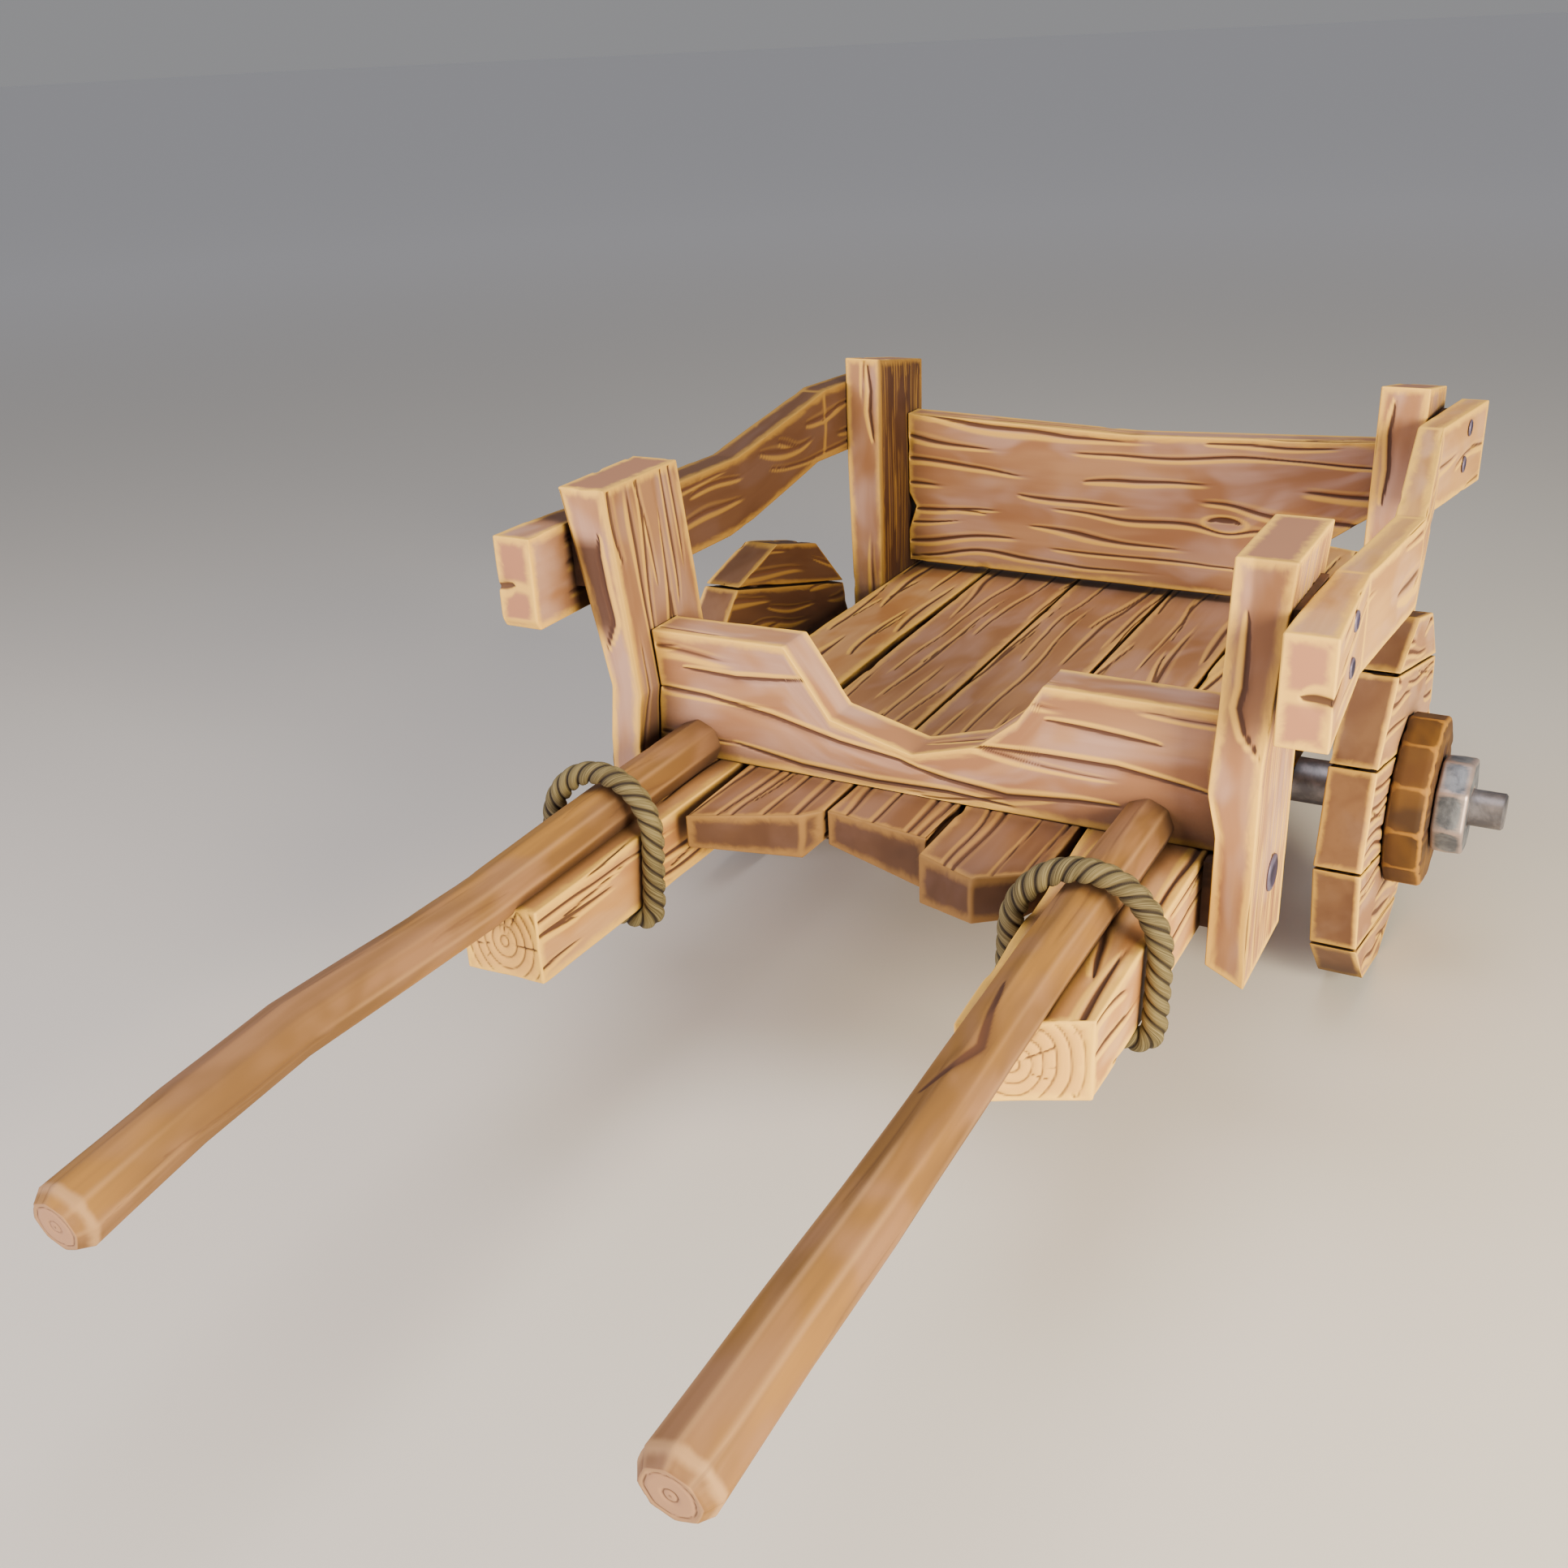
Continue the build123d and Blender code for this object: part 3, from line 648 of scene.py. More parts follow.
# dark oak; on the packers and wedges in the gaps the dark colour also stands in for the shade there
DARK_OAK_AND_SHADE = plain("dark_oak", rgb(92, 62, 44), rgb(66, 44, 32), 0.75)

# ---------------- boards
SPLIT_RIGHT = [(751, 449), (730, 451), (705, 452), (656, 452), (632, 447), (600, 455), (568, 478)]
SPLIT_LEFT = [(580, -446), (623, -431), (671, -441), (720, -446), (751, -443)]
LEFT_INNER = [(262, -403), (435, -403), (493, -398), (516, -394), (654, -409), (812, -428)]
SLOPE_FROM = 700.0       # height over which the slope of the back posts' tops sets in
TOP_FALL = 30.5          # how far it falls over a post's depth


def in_front(p):
    """0 behind the front board's face, 1 a little in front of it."""
    return smooth(-p[:, 1], -FRONT_BOARD_Y[0] - 1, -FRONT_BOARD_Y[0] + 14)


def hewn(*spec):
    """Deck planks keep their hewn thickness where they stick out in front: (x, thickness)."""
    def place(p):
        thick = profile(p[:, 0], spec)
        out = p.copy()
        swell = 1 + (thick / (BED_TOP - DECK_BOTTOM) - 1) * in_front(p)
        out[:, 2] = BED_TOP - (BED_TOP - p[:, 2]) * swell
        return out
    return place


def shaded_front(p, endg):
    """The deck planks are darker where they stick out in front of the board."""
    return 0.08 + (0.42 + 0.36 * endg) * in_front(p)


def shaded_behind_post(p, endg):
    """The left side board is light in front of its front post and shaded behind it."""
    return 0.12 * (1 - endg) + 0.78 * smooth(p[:, 1], FRONT_Y[0] - 8, FRONT_Y[0] + 32)


def shaded_strip(p, endg):
    """The left front post is shaded outside its long split, and on its inner face."""
    crack_x = np.interp(p[:, 2], [560, 623, 671, 751], [-436, -431, -441, -443])
    strip = smooth(crack_x - p[:, 0], -2, 6) * smooth(p[:, 2], 752, 726) * smooth(p[:, 2], 575, 625)
    return np.maximum(0.95 * strip, 0.45 * smooth(p[:, 0] - profile(p[:, 2], LEFT_INNER), -6, 0))


def shaded_foot(p, endg):
    """The right front post is shaded low on its front face and to the right of its long split."""
    split_x = profile(p[:, 2], [(568, 478), (600, 455), (632, 447), (656, 452), (705, 452), (751, 449)])
    strip = smooth(p[:, 0] - split_x, -2, 6) * smooth(p[:, 2], 575, 640)
    face = smooth(-p[:, 1], -FRONT_Y[0] - 14, -FRONT_Y[0] - 2)
    return face * np.maximum(0.45 * smooth(p[:, 2], 480, 330), 0.4 * strip)


def shaded_inside(p, endg):
    """The left back post is shaded on its inner face."""
    inner = span("post_back_left", "x")[1]
    return 0.05 + 0.95 * smooth(p[:, 0], inner - 7, inner - 1)


def shaded_tread(p, endg):
    """A wheel is darker all over than on its outer face."""
    return (0.95 - 0.2 * endg) * smooth(WHEEL_OUT - np.abs(p[:, 0]), 4, 9)


def shaded_sides(side):
    """Painted shade on the sides by the given amount, ends left light."""
    return lambda p, endg: side * (1 - endg)


def sloped_top(p):
    """The tops of the back posts fall away towards the tail."""
    out = p.copy()
    high = np.clip((p[:, 2] - SLOPE_FROM) / (BACK_TOP - SLOPE_FROM), 0, 1)
    out[:, 2] -= TOP_FALL * (p[:, 1] - BACK_Y[0]) / (BACK_Y[1] - BACK_Y[0]) * high
    return out


DECK_PLANKS = [
    ("deck_plank_left", ([(0, -722), (0.866, -658), (1, -633)], [(0, 466), (1, 472)]),
     ([(-722, -248), (466, -274)], [(-633, -84), (472, -103)]),
     hewn((-248, 47), (-106, 65), (-84, 47))),
    ("deck_plank_middle", ([(0, -631), (1, -653)], 505.0),
     ([(-631, -79), (505, -97)], [(-653, 76), (505, 74)]),
     hewn((-79, 51), (76, 77))),
    ("deck_plank_right", ([(0, -696), (0.53, -729), (0.87, -693), (1, -646)], [(0, 480), (1, 482)]),
     ([(-696, 85), (480, 81)], [(-646, 246), (482, 243)]),
     hewn((85, 71), (170, 65), (246, 60)))]
for k, (name, ends, sides, place) in enumerate(DECK_PLANKS):
    timber(name, DECK, "yxz", ends, sides, (DECK_BOTTOM, BED_TOP), 11 + k,
           place=place, density=0.9, sway=0.7, stretch=1.9, tone=shaded_front)
timber("beam_left", BEAM, "yxz",
       ([(0, -1027), (1, -1024)], [(0, 770), (1, 818)]),
       ([(-1027, -389), (-612, -403), (-372, -403), (-40, -430), (770, -430)],
        [(-1024, -274), (-560, -266), (0, -280), (818, -280)]), (BEAM_BOTTOM, BED_TOP), 14,
       r=5, pith=(6.0, 0.0), tone=shaded_sides(0.2))
timber("beam_right", BEAM, "yxz",
       ([(0, -1029), (1, -964)], [(0, 818), (1, 768)]),
       ([(-1029, 276), (-540, 254), (0, 249), (818, 249)],
        [(-964, 410), (-549, 412), (768, 412)]), (BEAM_BOTTOM, BED_TOP), 15,
       r=5, pith=(-14.0, -4.0))

timber("front_board", BOARD, "xzy",
       ([(0, -402.5), (0.42, -397.5), (0.55, -393.5), (1, -402.5)],
        [(0, 429.5), (0.25, 429.5), (0.55, 416.5), (1, 421)]),
       (BED_TOP, [(-402, 600), (-186, 603), (-118, 506), (4, 474), (100, 502), (156, 549), (189, 601),
                  (421, 600)]),
       FRONT_BOARD_Y, 16, density=0.45, grid=(3.5, 2.0), cracks=[
           (2, -1, 2.6, [(-404, 516), (-317, 511), (-209, 496), (-105, 474), (-14, 463), (58, 442)]),
           (2, -1, 3.2, [(-14, 460), (58, 446), (144, 438), (243, 449), (300, 452)]),
           (2, -1, 2.8, [(-282, 446), (-164, 428), (-51, 424), (58, 428), (160, 424)]),
           (2, -1, 2.6, [(92, 503), (193, 506), (289, 506), (374, 496), (415, 490)]),
           (2, -1, 2.4, [(-355, 549), (-265, 546), (-200, 552), (-149, 559)]),
           (2, -1, 2.4, [(190, 556), (256, 552), (349, 545)])])
timber("back_board", BOARD, "xzy",
       ([(0, -429.7), (0.214, -429.7), (0.382, -414.5), (0.474, -429.7), (1, -429.7)], 426.7),
       ([(-429.7, 427), (193, 427), (426.7, 600)], [(-429.7, 712), (0, 700), (426.7, 717)]),
       BACK_BOARD_Y, 17, eyes=[(-1, 175, -15, 24, 9)], tone=0.15, stretch=1.4, grid=(4.0, 2.0))

SIDE_TOP = [(-669, 758), (-577, 757), (-341, 744), (-102, 740), (-60, 746), (211, 790), (478, 779)]
timber("side_board_left", BOARD, "yzx",
       ([(0, -661), (0.1, -669), (1, -669)], 478.0),
       ([(-669, 625), (-552, 625), (-136, 616), (-60, 625), (168, 668), (478, 656)], SIDE_TOP),
       ([(-669, -504.0), (-120, -504.0), (120, -500.0), (478, -500.0)],
        [(-669, -565.0), (-480, -565.0), (-200, -559.0), (200, -548.0), (478, -548.0)]),
       19, creases=(200,), tone=shaded_behind_post, fine_sides=None, quiet=(-600, -570),
       cracks=[(0, -1, 5.0, [(684, -572), (687, -553), (690, -536)])])
# its wood is the lit copy of the board wood: painted light
timber("side_board_right", LIT_SIDE_WOOD, "yzx",
       (-669.0, 478.0),
       ([(-669, 624), (-136, 614), (-60, 625), (168, 668), (478, 648)], SIDE_TOP),
       ([(-669, 504.0), (-400, 505.0), (-112, 525.0), (205, 498.0), (478, 523.0)],
        [(-669, 565.0), (-400, 547.0), (-112, 566.0), (205, 536.0), (478, 565.0)]),
       21, creases=(-400, -112, 205), density=0.8, fine_sides=None, quiet=(-640, -600),
       cracks=[(0, -1, 5.0, [(684, 572), (687, 544), (686, 528)]),
               (2, 1, 4.0, [(-690, 684), (-640, 681), (-590, 686)])])

timber("post_front_right", POST, "zxy",
       ([(0, 280), (1, 255)], FRONT_TOP),
       ([(255, 430), (461, 430), (516, 417), (621, 423), (812, 429)],
        [(255, 480), (560, 480), (812, 500)]),
       FRONT_Y, 23, fine_sides=12, density=0.35, tone=shaded_foot, cracks=[(2, -1, 3.2, SPLIT_RIGHT)])
timber("post_front_left", POST, "zxy",
       ([(0, 262), (1, 272)], FRONT_TOP),
       ([(262, -457), (410, -457), (526, -443), (812, -504)], LEFT_INNER),
       FRONT_Y, 24, side_density=1.1, density=0.35, tone=shaded_strip,
       cracks=[(2, -1, 4.5, SPLIT_LEFT)])
timber("post_back_right", POST, "zxy",
       ([(0, 270), (1, 262)], BACK_TOP), (427.0, [(262, 494), (372, 494), (640, 500), (831, 500)]),
       BACK_Y, 25, place=sloped_top, fine_sides=12, density=0.4,
       cracks=[(2, -1, 2.8, [(815, 452), (762, 447), (700, 452), (640, 446)])])
timber("post_back_left", POST, "zxy",
       ([(0, 262), (1, 270)], BACK_TOP), ([(262, -494), (372, -494), (640, -500), (831, -500)], -430.0),
       BACK_Y, 26, place=sloped_top, fine_sides=14, density=0.4, tone=shaded_inside,
       cracks=[(2, -1, 2.8, [(822, -456), (775, -450), (735, -453), (680, -445)])])

# ---------------- wheels
# A wheel is a twelve-sided disc of five planks. C15, C45 and C75 are how far its corners are
# from the middle along and across the planks. The planks lean by TILT.
TILT = radians(15.0)
C15, C45, C75 = (WHEEL_R * cos(radians(a)) for a in (15, 45, 75))
# each plank's lower and upper edge, and half its length at the lower and the upper edge
ROWS = [(-C15, -C45, C75, C45), (-C45, -C75, C45, C15), (-C75, C75, C15, C15),
        (C75, C45, C15, C45), (C45, C15, C45, C75)]
PLANK_GAP = 2.0          # what a plank gives up at each joint
BORE_R = 36.1            # round the bush
HUB_OUTLINE = [(561.2, BORE_R, 0, 30), (561.2, 80, 0.5, 30), (561.2, 122, 1, 8), (563, 128, 1, 2),
               (566, 130, 1, 3), (578, 130, 1, 14), (590, 130, 1, 24), (602, 130, 1, 12),
               (611, 130, 1, 3), (615, 127.5, 1, 0.5), (617, 123, 1, 4), (617, 112, 1, 14),
               (617, 98, 1, 26), (617, 80, 1, 30), (617, 60, 0.5, 30), (617, 46, 0.0, 10),
               (616.5, 37.0, 0, 1), (614, BORE_R, 0, 3), (590, BORE_R, 0, 20)]
NUT_OUTLINE = [(618.5, 28.1, 0, 20), (618.5, 50, 0.3, 20), (618.5, 70, 1, 4), (620.5, 74, 1, 0.5),
               (624, 75, 1, 3), (641, 75, 1, 14), (659, 75, 1, 3), (663, 73.5, 1, 0.5),
               (664.5, 69.5, 1, 3), (664.5, 56, 1, 14), (664.5, 42, 0.3, 12), (664.5, 30, 0, 1),
               (662, 28.1, 0, 2), (641, 28.1, 0, 20)]


def wheel_place(p):
    u, w = p[:, 1], p[:, 2]
    return np.stack([p[:, 0], u * cos(TILT) + w * sin(TILT),
                     AXLE_Z - u * sin(TILT) + w * cos(TILT)], 1)


def on_side(outline, side):
    return [(side * point[0], *point[1:]) for point in outline]


for side, name in ((-1, "left"), (1, "right")):
    for k, (w0, w1, u0, u1) in enumerate(ROWS):
        lo = w0 + (PLANK_GAP if k else 0.0)
        hi = w1 - (PLANK_GAP if k < 4 else 0.0)
        node = "wheel_%s_plank_%d" % (name, k + 1)
        timber(node, WHEEL, "yzx",
               ([(0, -u0), (1, -u1)], [(0, u0), (1, u1)]), (lo, hi),
               (side * WHEEL_IN, side * WHEEL_OUT), 40 + k + 7 * side,
               body="wheel_" + name, place=wheel_place, r=3.5, density=1.1, sway=1.5, tone=shaded_tread,
               bore=(side * 480, side * 600, BORE_R) if k == 2 else None)
    lathe_x("hub_block_" + name, HUB, on_side(HUB_OUTLINE, side), 12, 0.0, 60 + side,
            "wheel_" + name, grain=-TILT, dent=0.35)
    lathe_x("axle_nut_" + name, STEEL, on_side(NUT_OUTLINE, side), 8, radians(10),
            70 + side, "cart")

# ---------------- shafts
TIP_LEAN = radians(6.0)
TIP_R = 30.0
TIP_Y = SHAFT_TIP + TIP_R * sin(TIP_LEAN)
CHAMFER_Y = -1657.0      # where the tip's chamfer ends
BEND_Y = -1512.0         # behind this the shaft's sections stand upright
SHAFT_R = 36.0
GRAIN_MIDDLE, GRAIN_LENGTH = -1090.0, 1170.0      # where the shafts' splits are
GIRTH = 226.0            # round the shaft
TIP_RINGS = 16
# a shaft's middle line: (y, distance from the cart's middle, z, radius)
SHAFT_LINE = np.array([
    (TIP_Y, 331.0, 411.5, TIP_R), (CHAMFER_Y, 331.0, 413.0, 39.0), (BEND_Y, 336.0, 427.0, 37.0),
    (-1362.0, 340.0, 434.0, 36.5), (-1212.0, 336.0, 431.0, 36.0), (-1062.0, 332.0, 430.0, 36.0),
    (-912.0, 331.0, 434.0, 37.0), (-762.0, 332.0, 436.0, 37.0), (-612.0, 333.0, 436.0, 37.0),
    (SHAFT_END, 333.0, 436.0, 37.0)])
SHAFT_SPLIT = [(-1000, 322), (-1060, 331), (-1120, 345), (-1150, 338), (-1215, 318)]


def shaft(side, name, seed):
    """A hewn eight-sided pole with a chamfered tip. Only the right one has the long split."""
    around = 96
    theta = np.linspace(0, 2 * pi, around, endpoint=False)
    corner = np.abs(np.mod(theta + pi / 8, pi / 4) - pi / 8)
    poly = ngon(theta, 8) * (1 - 0.02 * np.exp(-(corner / radians(5)) ** 2))
    tip_caps = np.linspace(0.03, 1.0, TIP_RINGS)
    chamfer = np.linspace(TIP_Y, CHAMFER_Y, 6)[1:]
    body_y = np.arange(-1650, -510, 7.0)
    ys = np.concatenate([np.full(TIP_RINGS, TIP_Y), chamfer, body_y, [SHAFT_END, SHAFT_END]])
    caps = np.concatenate([tip_caps, np.ones(len(chamfer) + len(body_y)), [1.0, 0.03]])
    centre = np.stack([np.interp(ys, SHAFT_LINE[:, 0], SHAFT_LINE[:, i]) for i in (1, 2, 3)], 1)
    lean = TIP_LEAN * np.clip((BEND_Y - ys) / (BEND_Y - CHAMFER_Y), 0, 1)
    rad = (centre[:, 2] * caps)[:, None] * poly[None, :]
    across, up = rad * np.cos(theta), rad * np.sin(theta)
    p = np.stack([side * centre[:, 0][:, None] + across, ys[:, None] - up * np.sin(lean)[:, None],
                  centre[:, 1][:, None] + up * np.cos(lean)[:, None]], -1).reshape(-1, 3)
    first = np.arange(around)
    last = (len(ys) - 1) * around + first
    mid = (p[first].mean(axis=0), p[last].mean(axis=0))
    g = np.stack([p[:, 1], across.ravel(), up.ravel()], 1)
    axis = np.stack([side * np.repeat(centre[:, 0], around), p[:, 1],
                     np.repeat(centre[:, 1], around)], 1)
    quads, normal = outward(p, ring_faces(len(ys), around, False), axis)
    ring = np.arange(len(ys))
    endg = np.repeat((ring < TIP_RINGS - 1) | (ring == len(ys) - 1), around).astype(float)
    body = 1 - endg
    arc = np.mod(np.tile(theta, len(ys)) * SHAFT_R + GIRTH / 2, GIRTH) - GIRTH / 2
    split, rim = strokes(g[:, 0] - GRAIN_MIDDLE, arc, (GRAIN_LENGTH, GIRTH), seed, 0.7)
    split, rim = 0.38 * split * body, 0.3 * rim * body
    if side > 0:
        top = (up.ravel() > 0) & (across.ravel() < 20)
        got = crack(p[:, 1], p[:, 0], SHAFT_SPLIT, 5.0)
        split = np.maximum(split, 0.9 * got[0] * top * body)
    # pale lines along some of the ridges: wear with a painted highlight
    ridge = np.tile(corner, len(ys)) * SHAFT_R
    worn = smooth(noise(g, (240, 50, 50), seed + 2), -0.5, 0.3)
    rim = np.maximum(rim, 0.55 * body * worn * np.exp(-(ridge / 5.0) ** 2))
    hollow = (0.5 + 0.5 * noise(g, (160, 26, 26), seed + 1)) * 1.4
    from_axis = np.hypot(g[:, 1], g[:, 2]) + 1.5 * noise(g, (1000, 14, 14), seed + 3)
    drawn = np.maximum(np.exp(-((from_axis - 22.5) / 1.2) ** 2),
                       np.exp(-((from_axis - 7.0) / 1.4) ** 2))
    split = np.maximum(split, endg * 0.55 * drawn)
    p = p - normal * (2.2 * split + hollow * body)[:, None]
    edge = np.abs(np.repeat(ys, around) - CHAMFER_Y)
    edge = np.where(endg > 0.5, (1 - np.repeat(caps, around)) * TIP_R, edge)
    p = np.concatenate([p, mid])
    gp = np.concatenate([g, np.array([[SHAFT_TIP, 0, 0], [SHAFT_END, 0, 0]])])
    pad = np.zeros(2)        # for the two middles
    fans = [(len(p) - 2, (k + 1) % around, k) for k in range(around)]
    fans += [(len(p) - 1, last[k], last[(k + 1) % around]) for k in range(around)]
    ob = mesh_object("shaft_" + name, p, quads, gp + 977.0 * seed, np.append(edge, pad + 30), fans,
                     split=np.append(split, pad), rim=np.append(rim, pad),
                     endg=np.append(endg, pad + 1))
    finish_piece(ob, "cart", ["shaft_" + name], SHAFT)


shaft(-1, "left", 81)
shaft(1, "right", 82)

# ---------------- ropes
ROPE_R = 15.5
ROPE_Y = -806.0          # where the loops pass under the beams
ROPE_LEAN = radians(6.0)
STRANDS = 3
LAY = 62.0               # length of one full turn of a strand


def rope_material():
    m = Graph("rope")
    groove = m.attr("split", "Fac")
    gp = m.attr("gp", "Vector")
    fibre = m.noise(gp, (30.0, 420.0, 1.0), 3.0, 0.6, 0.2)
    tone = m.noise(gp, (9.0, 9.0, 9.0), 3.0, 0.5, 0.4)
    color = m.mix(m.ramp(tone, 0.35, 0.65), rgb(106, 94, 56), rgb(76, 66, 38))
    color = m.mix(m.ramp(fibre, 0.4, 0.65, 0.0, 0.8), color, rgb(138, 126, 86))
    # painted shade in the grooves between the strands
    color = m.mix(m.ramp(groove, 0.35, 0.9), color, rgb(40, 30, 18))
    m.bump(fibre, 0.001)
    return m.done(color, 0.85)


ROPE = rope_material()


def rope(side, name, inner, outer, top, seed):
    """A three-strand loop round a shaft and its beam.

    inner and outer are how far its two legs are from the cart's middle, top its arch's height."""
    half, mid = (outer - inner) / 2, side * (outer + inner) / 2
    low = BEAM_BOTTOM - ROPE_R - 1.0
    arch = (top - low) / cos(ROPE_LEAN) - half
    corner = 20.0            # radius of the bends under the beam
    quarter = np.linspace(0, pi / 2, 7)
    route = [(a, 0.0) for a in np.linspace(-half + corner, half - corner, 14)]
    route += [(half - corner + corner * sin(a), corner - corner * cos(a)) for a in quarter[1:]]
    route += [(half, z) for z in np.linspace(corner, arch, 12)[1:]]
    route += [(half * cos(a), arch + half * sin(a)) for a in np.linspace(0, pi, 40)[1:]]
    route += [(-half, z) for z in np.linspace(arch, corner, 12)[1:]]
    route += [(-half + corner - corner * cos(a), corner - corner * sin(a)) for a in quarter[1:-1]]
    route = np.array(route)
    closed = np.vstack([route, route[:1]])
    dist = np.concatenate([[0], np.cumsum(np.linalg.norm(np.diff(closed, axis=0), axis=1))])
    total = dist[-1]
    turns = round(total / LAY)
    rings, around = 420, 42
    s = np.linspace(0, total, rings, endpoint=False)
    c = np.stack([np.interp(s, dist, closed[:, i]) for i in (0, 1)], 1)
    for _ in range(3):
        c = (np.roll(c, 1, axis=0) + 2 * c + np.roll(c, -1, axis=0)) / 4
    tangent = np.roll(c, -1, axis=0) - np.roll(c, 1, axis=0)
    tangent /= np.linalg.norm(tangent, axis=1, keepdims=True)
    out = np.stack([tangent[:, 1], -tangent[:, 0]], 1)
    theta = np.linspace(0, 2 * pi, around, endpoint=False)
    twist = theta[None, :] + 2 * pi * turns * s[:, None] / total
    groove = 1 - np.abs(np.cos(STRANDS * twist / 2))
    r = ROPE_R * (1.0 - 0.26 * groove ** 1.6)
    a = c[:, :1] + r * np.cos(theta) * out[:, :1]
    b = c[:, 1:] + r * np.cos(theta) * out[:, 1:]
    n = r * np.sin(theta)
    y = ROPE_Y + b * sin(ROPE_LEAN) + n * cos(ROPE_LEAN)
    z = low + b * cos(ROPE_LEAN) - n * sin(ROPE_LEAN)
    p = np.stack([mid + a, y, z], -1).reshape(-1, 3)
    centre = np.stack([mid + c[:, 0], ROPE_Y + c[:, 1] * sin(ROPE_LEAN),
                       low + c[:, 1] * cos(ROPE_LEAN)], 1)
    quads, _ = outward(p, ring_faces(rings, around, True), np.repeat(centre, around, axis=0))
    gp = np.stack([np.broadcast_to(s[:, None], r.shape), twist * ROPE_R, r], -1).reshape(-1, 3)
    far = np.full(len(p), 1000.0)
    ob = mesh_object("rope_" + name, p, quads, gp + 1000 * seed, far, split=groove.ravel())
    finish_piece(ob, "cart", ["rope_" + name], ROPE)


shaft_top = np.interp(ROPE_Y, SHAFT_LINE[:, 0], SHAFT_LINE[:, 2] + SHAFT_LINE[:, 3]) + ROPE_R + 1.5
rope(-1, "left", 253.0, 413.5, shaft_top, 91)
rope(1, "right", 248.0, 428.5, shaft_top, 92)


# ---------------- bolts
def bolt_heads(name, spots, radius, height):
    """Domed heads; each spot is (x, y, z) of the face that the head sits on."""
    around = 20
    theta = np.linspace(0, 2 * pi, around, endpoint=False)
    # rings of a head: (part of the height, part of the radius, how far the arris is)
    section = [(0.0, 1.0, 0.5), (0.35, 1.0, 2), (0.6, 0.95, 0.5), (0.82, 0.8, 3), (0.94, 0.55, 8),
               (1.0, 0.25, 12)]
    points, quads, tris, edge, base = [], [], [], [], 0
    for x, y, z in spots:
        s = 1 if x > 0 else -1
        for h, k, e in section:
            points.append(np.stack([np.full(around, x + s * h * height),
                                    y + radius * k * np.cos(theta),
                                    z + radius * k * np.sin(theta)], 1))
            edge += [e] * around
        quads.append(ring_faces(len(section), around, False)[:, ::s] + base)
        points.append(np.array([[x, y, z], [x + s * height, y, z]]))
        edge += [0, 12]
        back = base + len(section) * around
        front, top = back + 1, back - around
        for k in range(around):
            a, b = (k, (k + 1) % around)[::s]
            tris += [(back, base + b, base + a), (front, top + a, top + b)]
        base = back + 2
    p = np.concatenate(points)
    ob = mesh_object(name, p, np.concatenate(quads), p, np.array(edge), tris)
    finish_piece(ob, "cart", [name], IRON)


bolt_heads("foot_bolts",
           [(-457, -485, 371), (480, -485, 371), (-494, 405, 345), (494, 405, 345)], 25.0, 5.0)
bolt_heads("side_board_bolts",
           [(-565, -557, 738), (-565, -557, 693), (-548, 402, 749), (-548, 392, 694),
            (555, -527, 731), (555, -524, 673), (552.8, 368, 757), (551.5, 355, 702)], 13.0, 4.0)

# ---------------- CAD pieces kept as they are
for node, ob in frame["nodes"].items():
    if node.startswith(("axle_strap", "axle_washer", "hub_bush")) or node == "axle":
        material = AXLE
    elif node.startswith(("hub_screws", "bearer_s", "strap_screws")):
        material = IRON
    # the packers and wedges are dark oak, also dark as painted shade in the gaps they fill
    elif node.startswith(("cross_bearer", "board_wedges", "foot_packers")) or "dowels" in node:
        material = DARK_OAK_AND_SHADE
    else:
        continue
    ob.data.materials.clear()
    ob.data.materials.append(material)

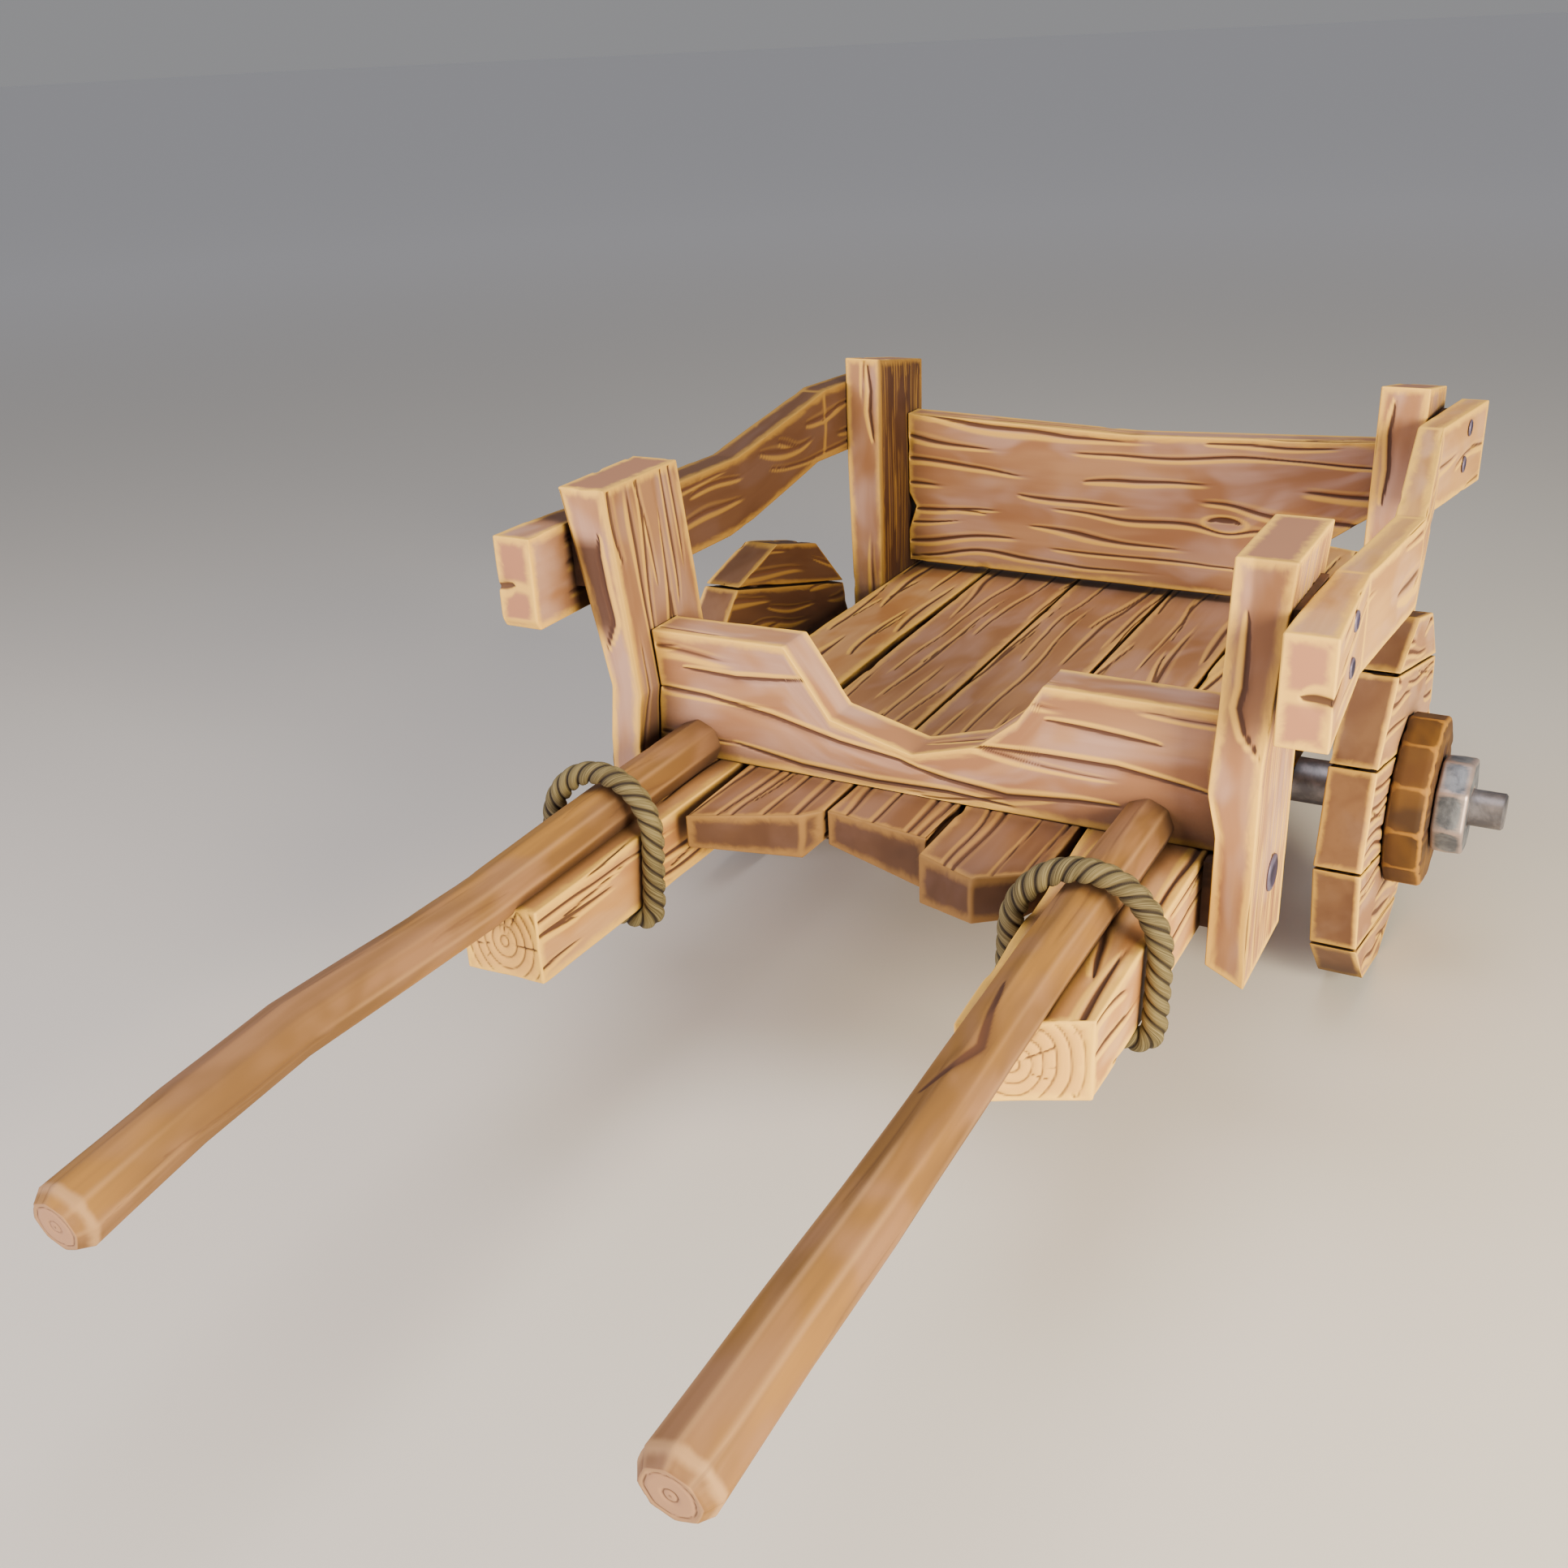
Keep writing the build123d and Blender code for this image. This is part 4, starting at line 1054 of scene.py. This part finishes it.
# ---------------- floor, lights, camera
SKY = (0.94, 0.94, 0.97)
FLOOR_SIZE = 400         # metres, to the horizon
FADE = (3.0, 12.0)       # metres over which the floor takes the sky's colour
bpy.ops.mesh.primitive_plane_add(size=FLOOR_SIZE, location=(0, 0, 0))
floor = bpy.context.object
floor.name = "floor"
paint = Graph("floor_paint")
away = paint.nodes.new("ShaderNodeVectorMath")
away.operation = "LENGTH"
paint.put(away.inputs[0], paint.nodes.new("ShaderNodeTexCoord").outputs["Object"])
far = paint.ramp(away.outputs["Value"], *FADE)
floor.data.materials.append(paint.done(paint.mix(far, rgb(214, 212, 208), SKY), 0.9))

backdrop = bpy.data.worlds.new("studio")
bpy.context.scene.world = backdrop
backdrop.use_nodes = True
glow = backdrop.node_tree.nodes["Background"].inputs
glow[0].default_value = (*SKY, 1)
glow[1].default_value = 0.30


def area_light(name, spot, aim, size, power, color):
    data = bpy.data.lights.new(name, "AREA")
    data.shape = "DISK"
    data.size = size
    data.energy = power
    data.color = color
    ob = bpy.data.objects.new(name, data)
    ob.location = spot
    ob.rotation_euler = (Vector(aim) - Vector(spot)).to_track_quat("-Z", "Y").to_euler()
    bpy.context.scene.collection.objects.link(ob)


area_light("key", (3.3, -1.9, 1.5), (0, 0.1, 0.4), 1.8, 350, (1.0, 0.84, 0.58))
area_light("fill", (-2.0, -3.2, 1.6), (0, 0.0, 0.4), 2.4, 104, (1.0, 0.87, 0.92))
area_light("top", (0.0, -0.3, 4.0), (0, 0.0, 0.4), 2.6, 70, (1.0, 0.95, 0.92))

# The photograph's camera: where it stands, and its turn as a rotation vector (looking
# along its third axis, the second one down).
CAMERA_SPOT = (0.83853, -1.90853, 1.36069)
CAMERA_TURN = Vector((1.97001, 0.47450, -0.36419))
rows = Matrix.Rotation(CAMERA_TURN.length, 3, CAMERA_TURN.normalized())
right, down, forward = rows[0], rows[1], rows[2]
view = Matrix((right, -down, -forward)).transposed().to_4x4()
view.translation = CAMERA_SPOT
camera = bpy.data.objects.new("camera", bpy.data.cameras.new("camera"))
camera.data.sensor_width = 36.0
camera.data.lens = 36.724
camera.matrix_world = view
bpy.context.scene.collection.objects.link(camera)
bpy.context.scene.camera = camera
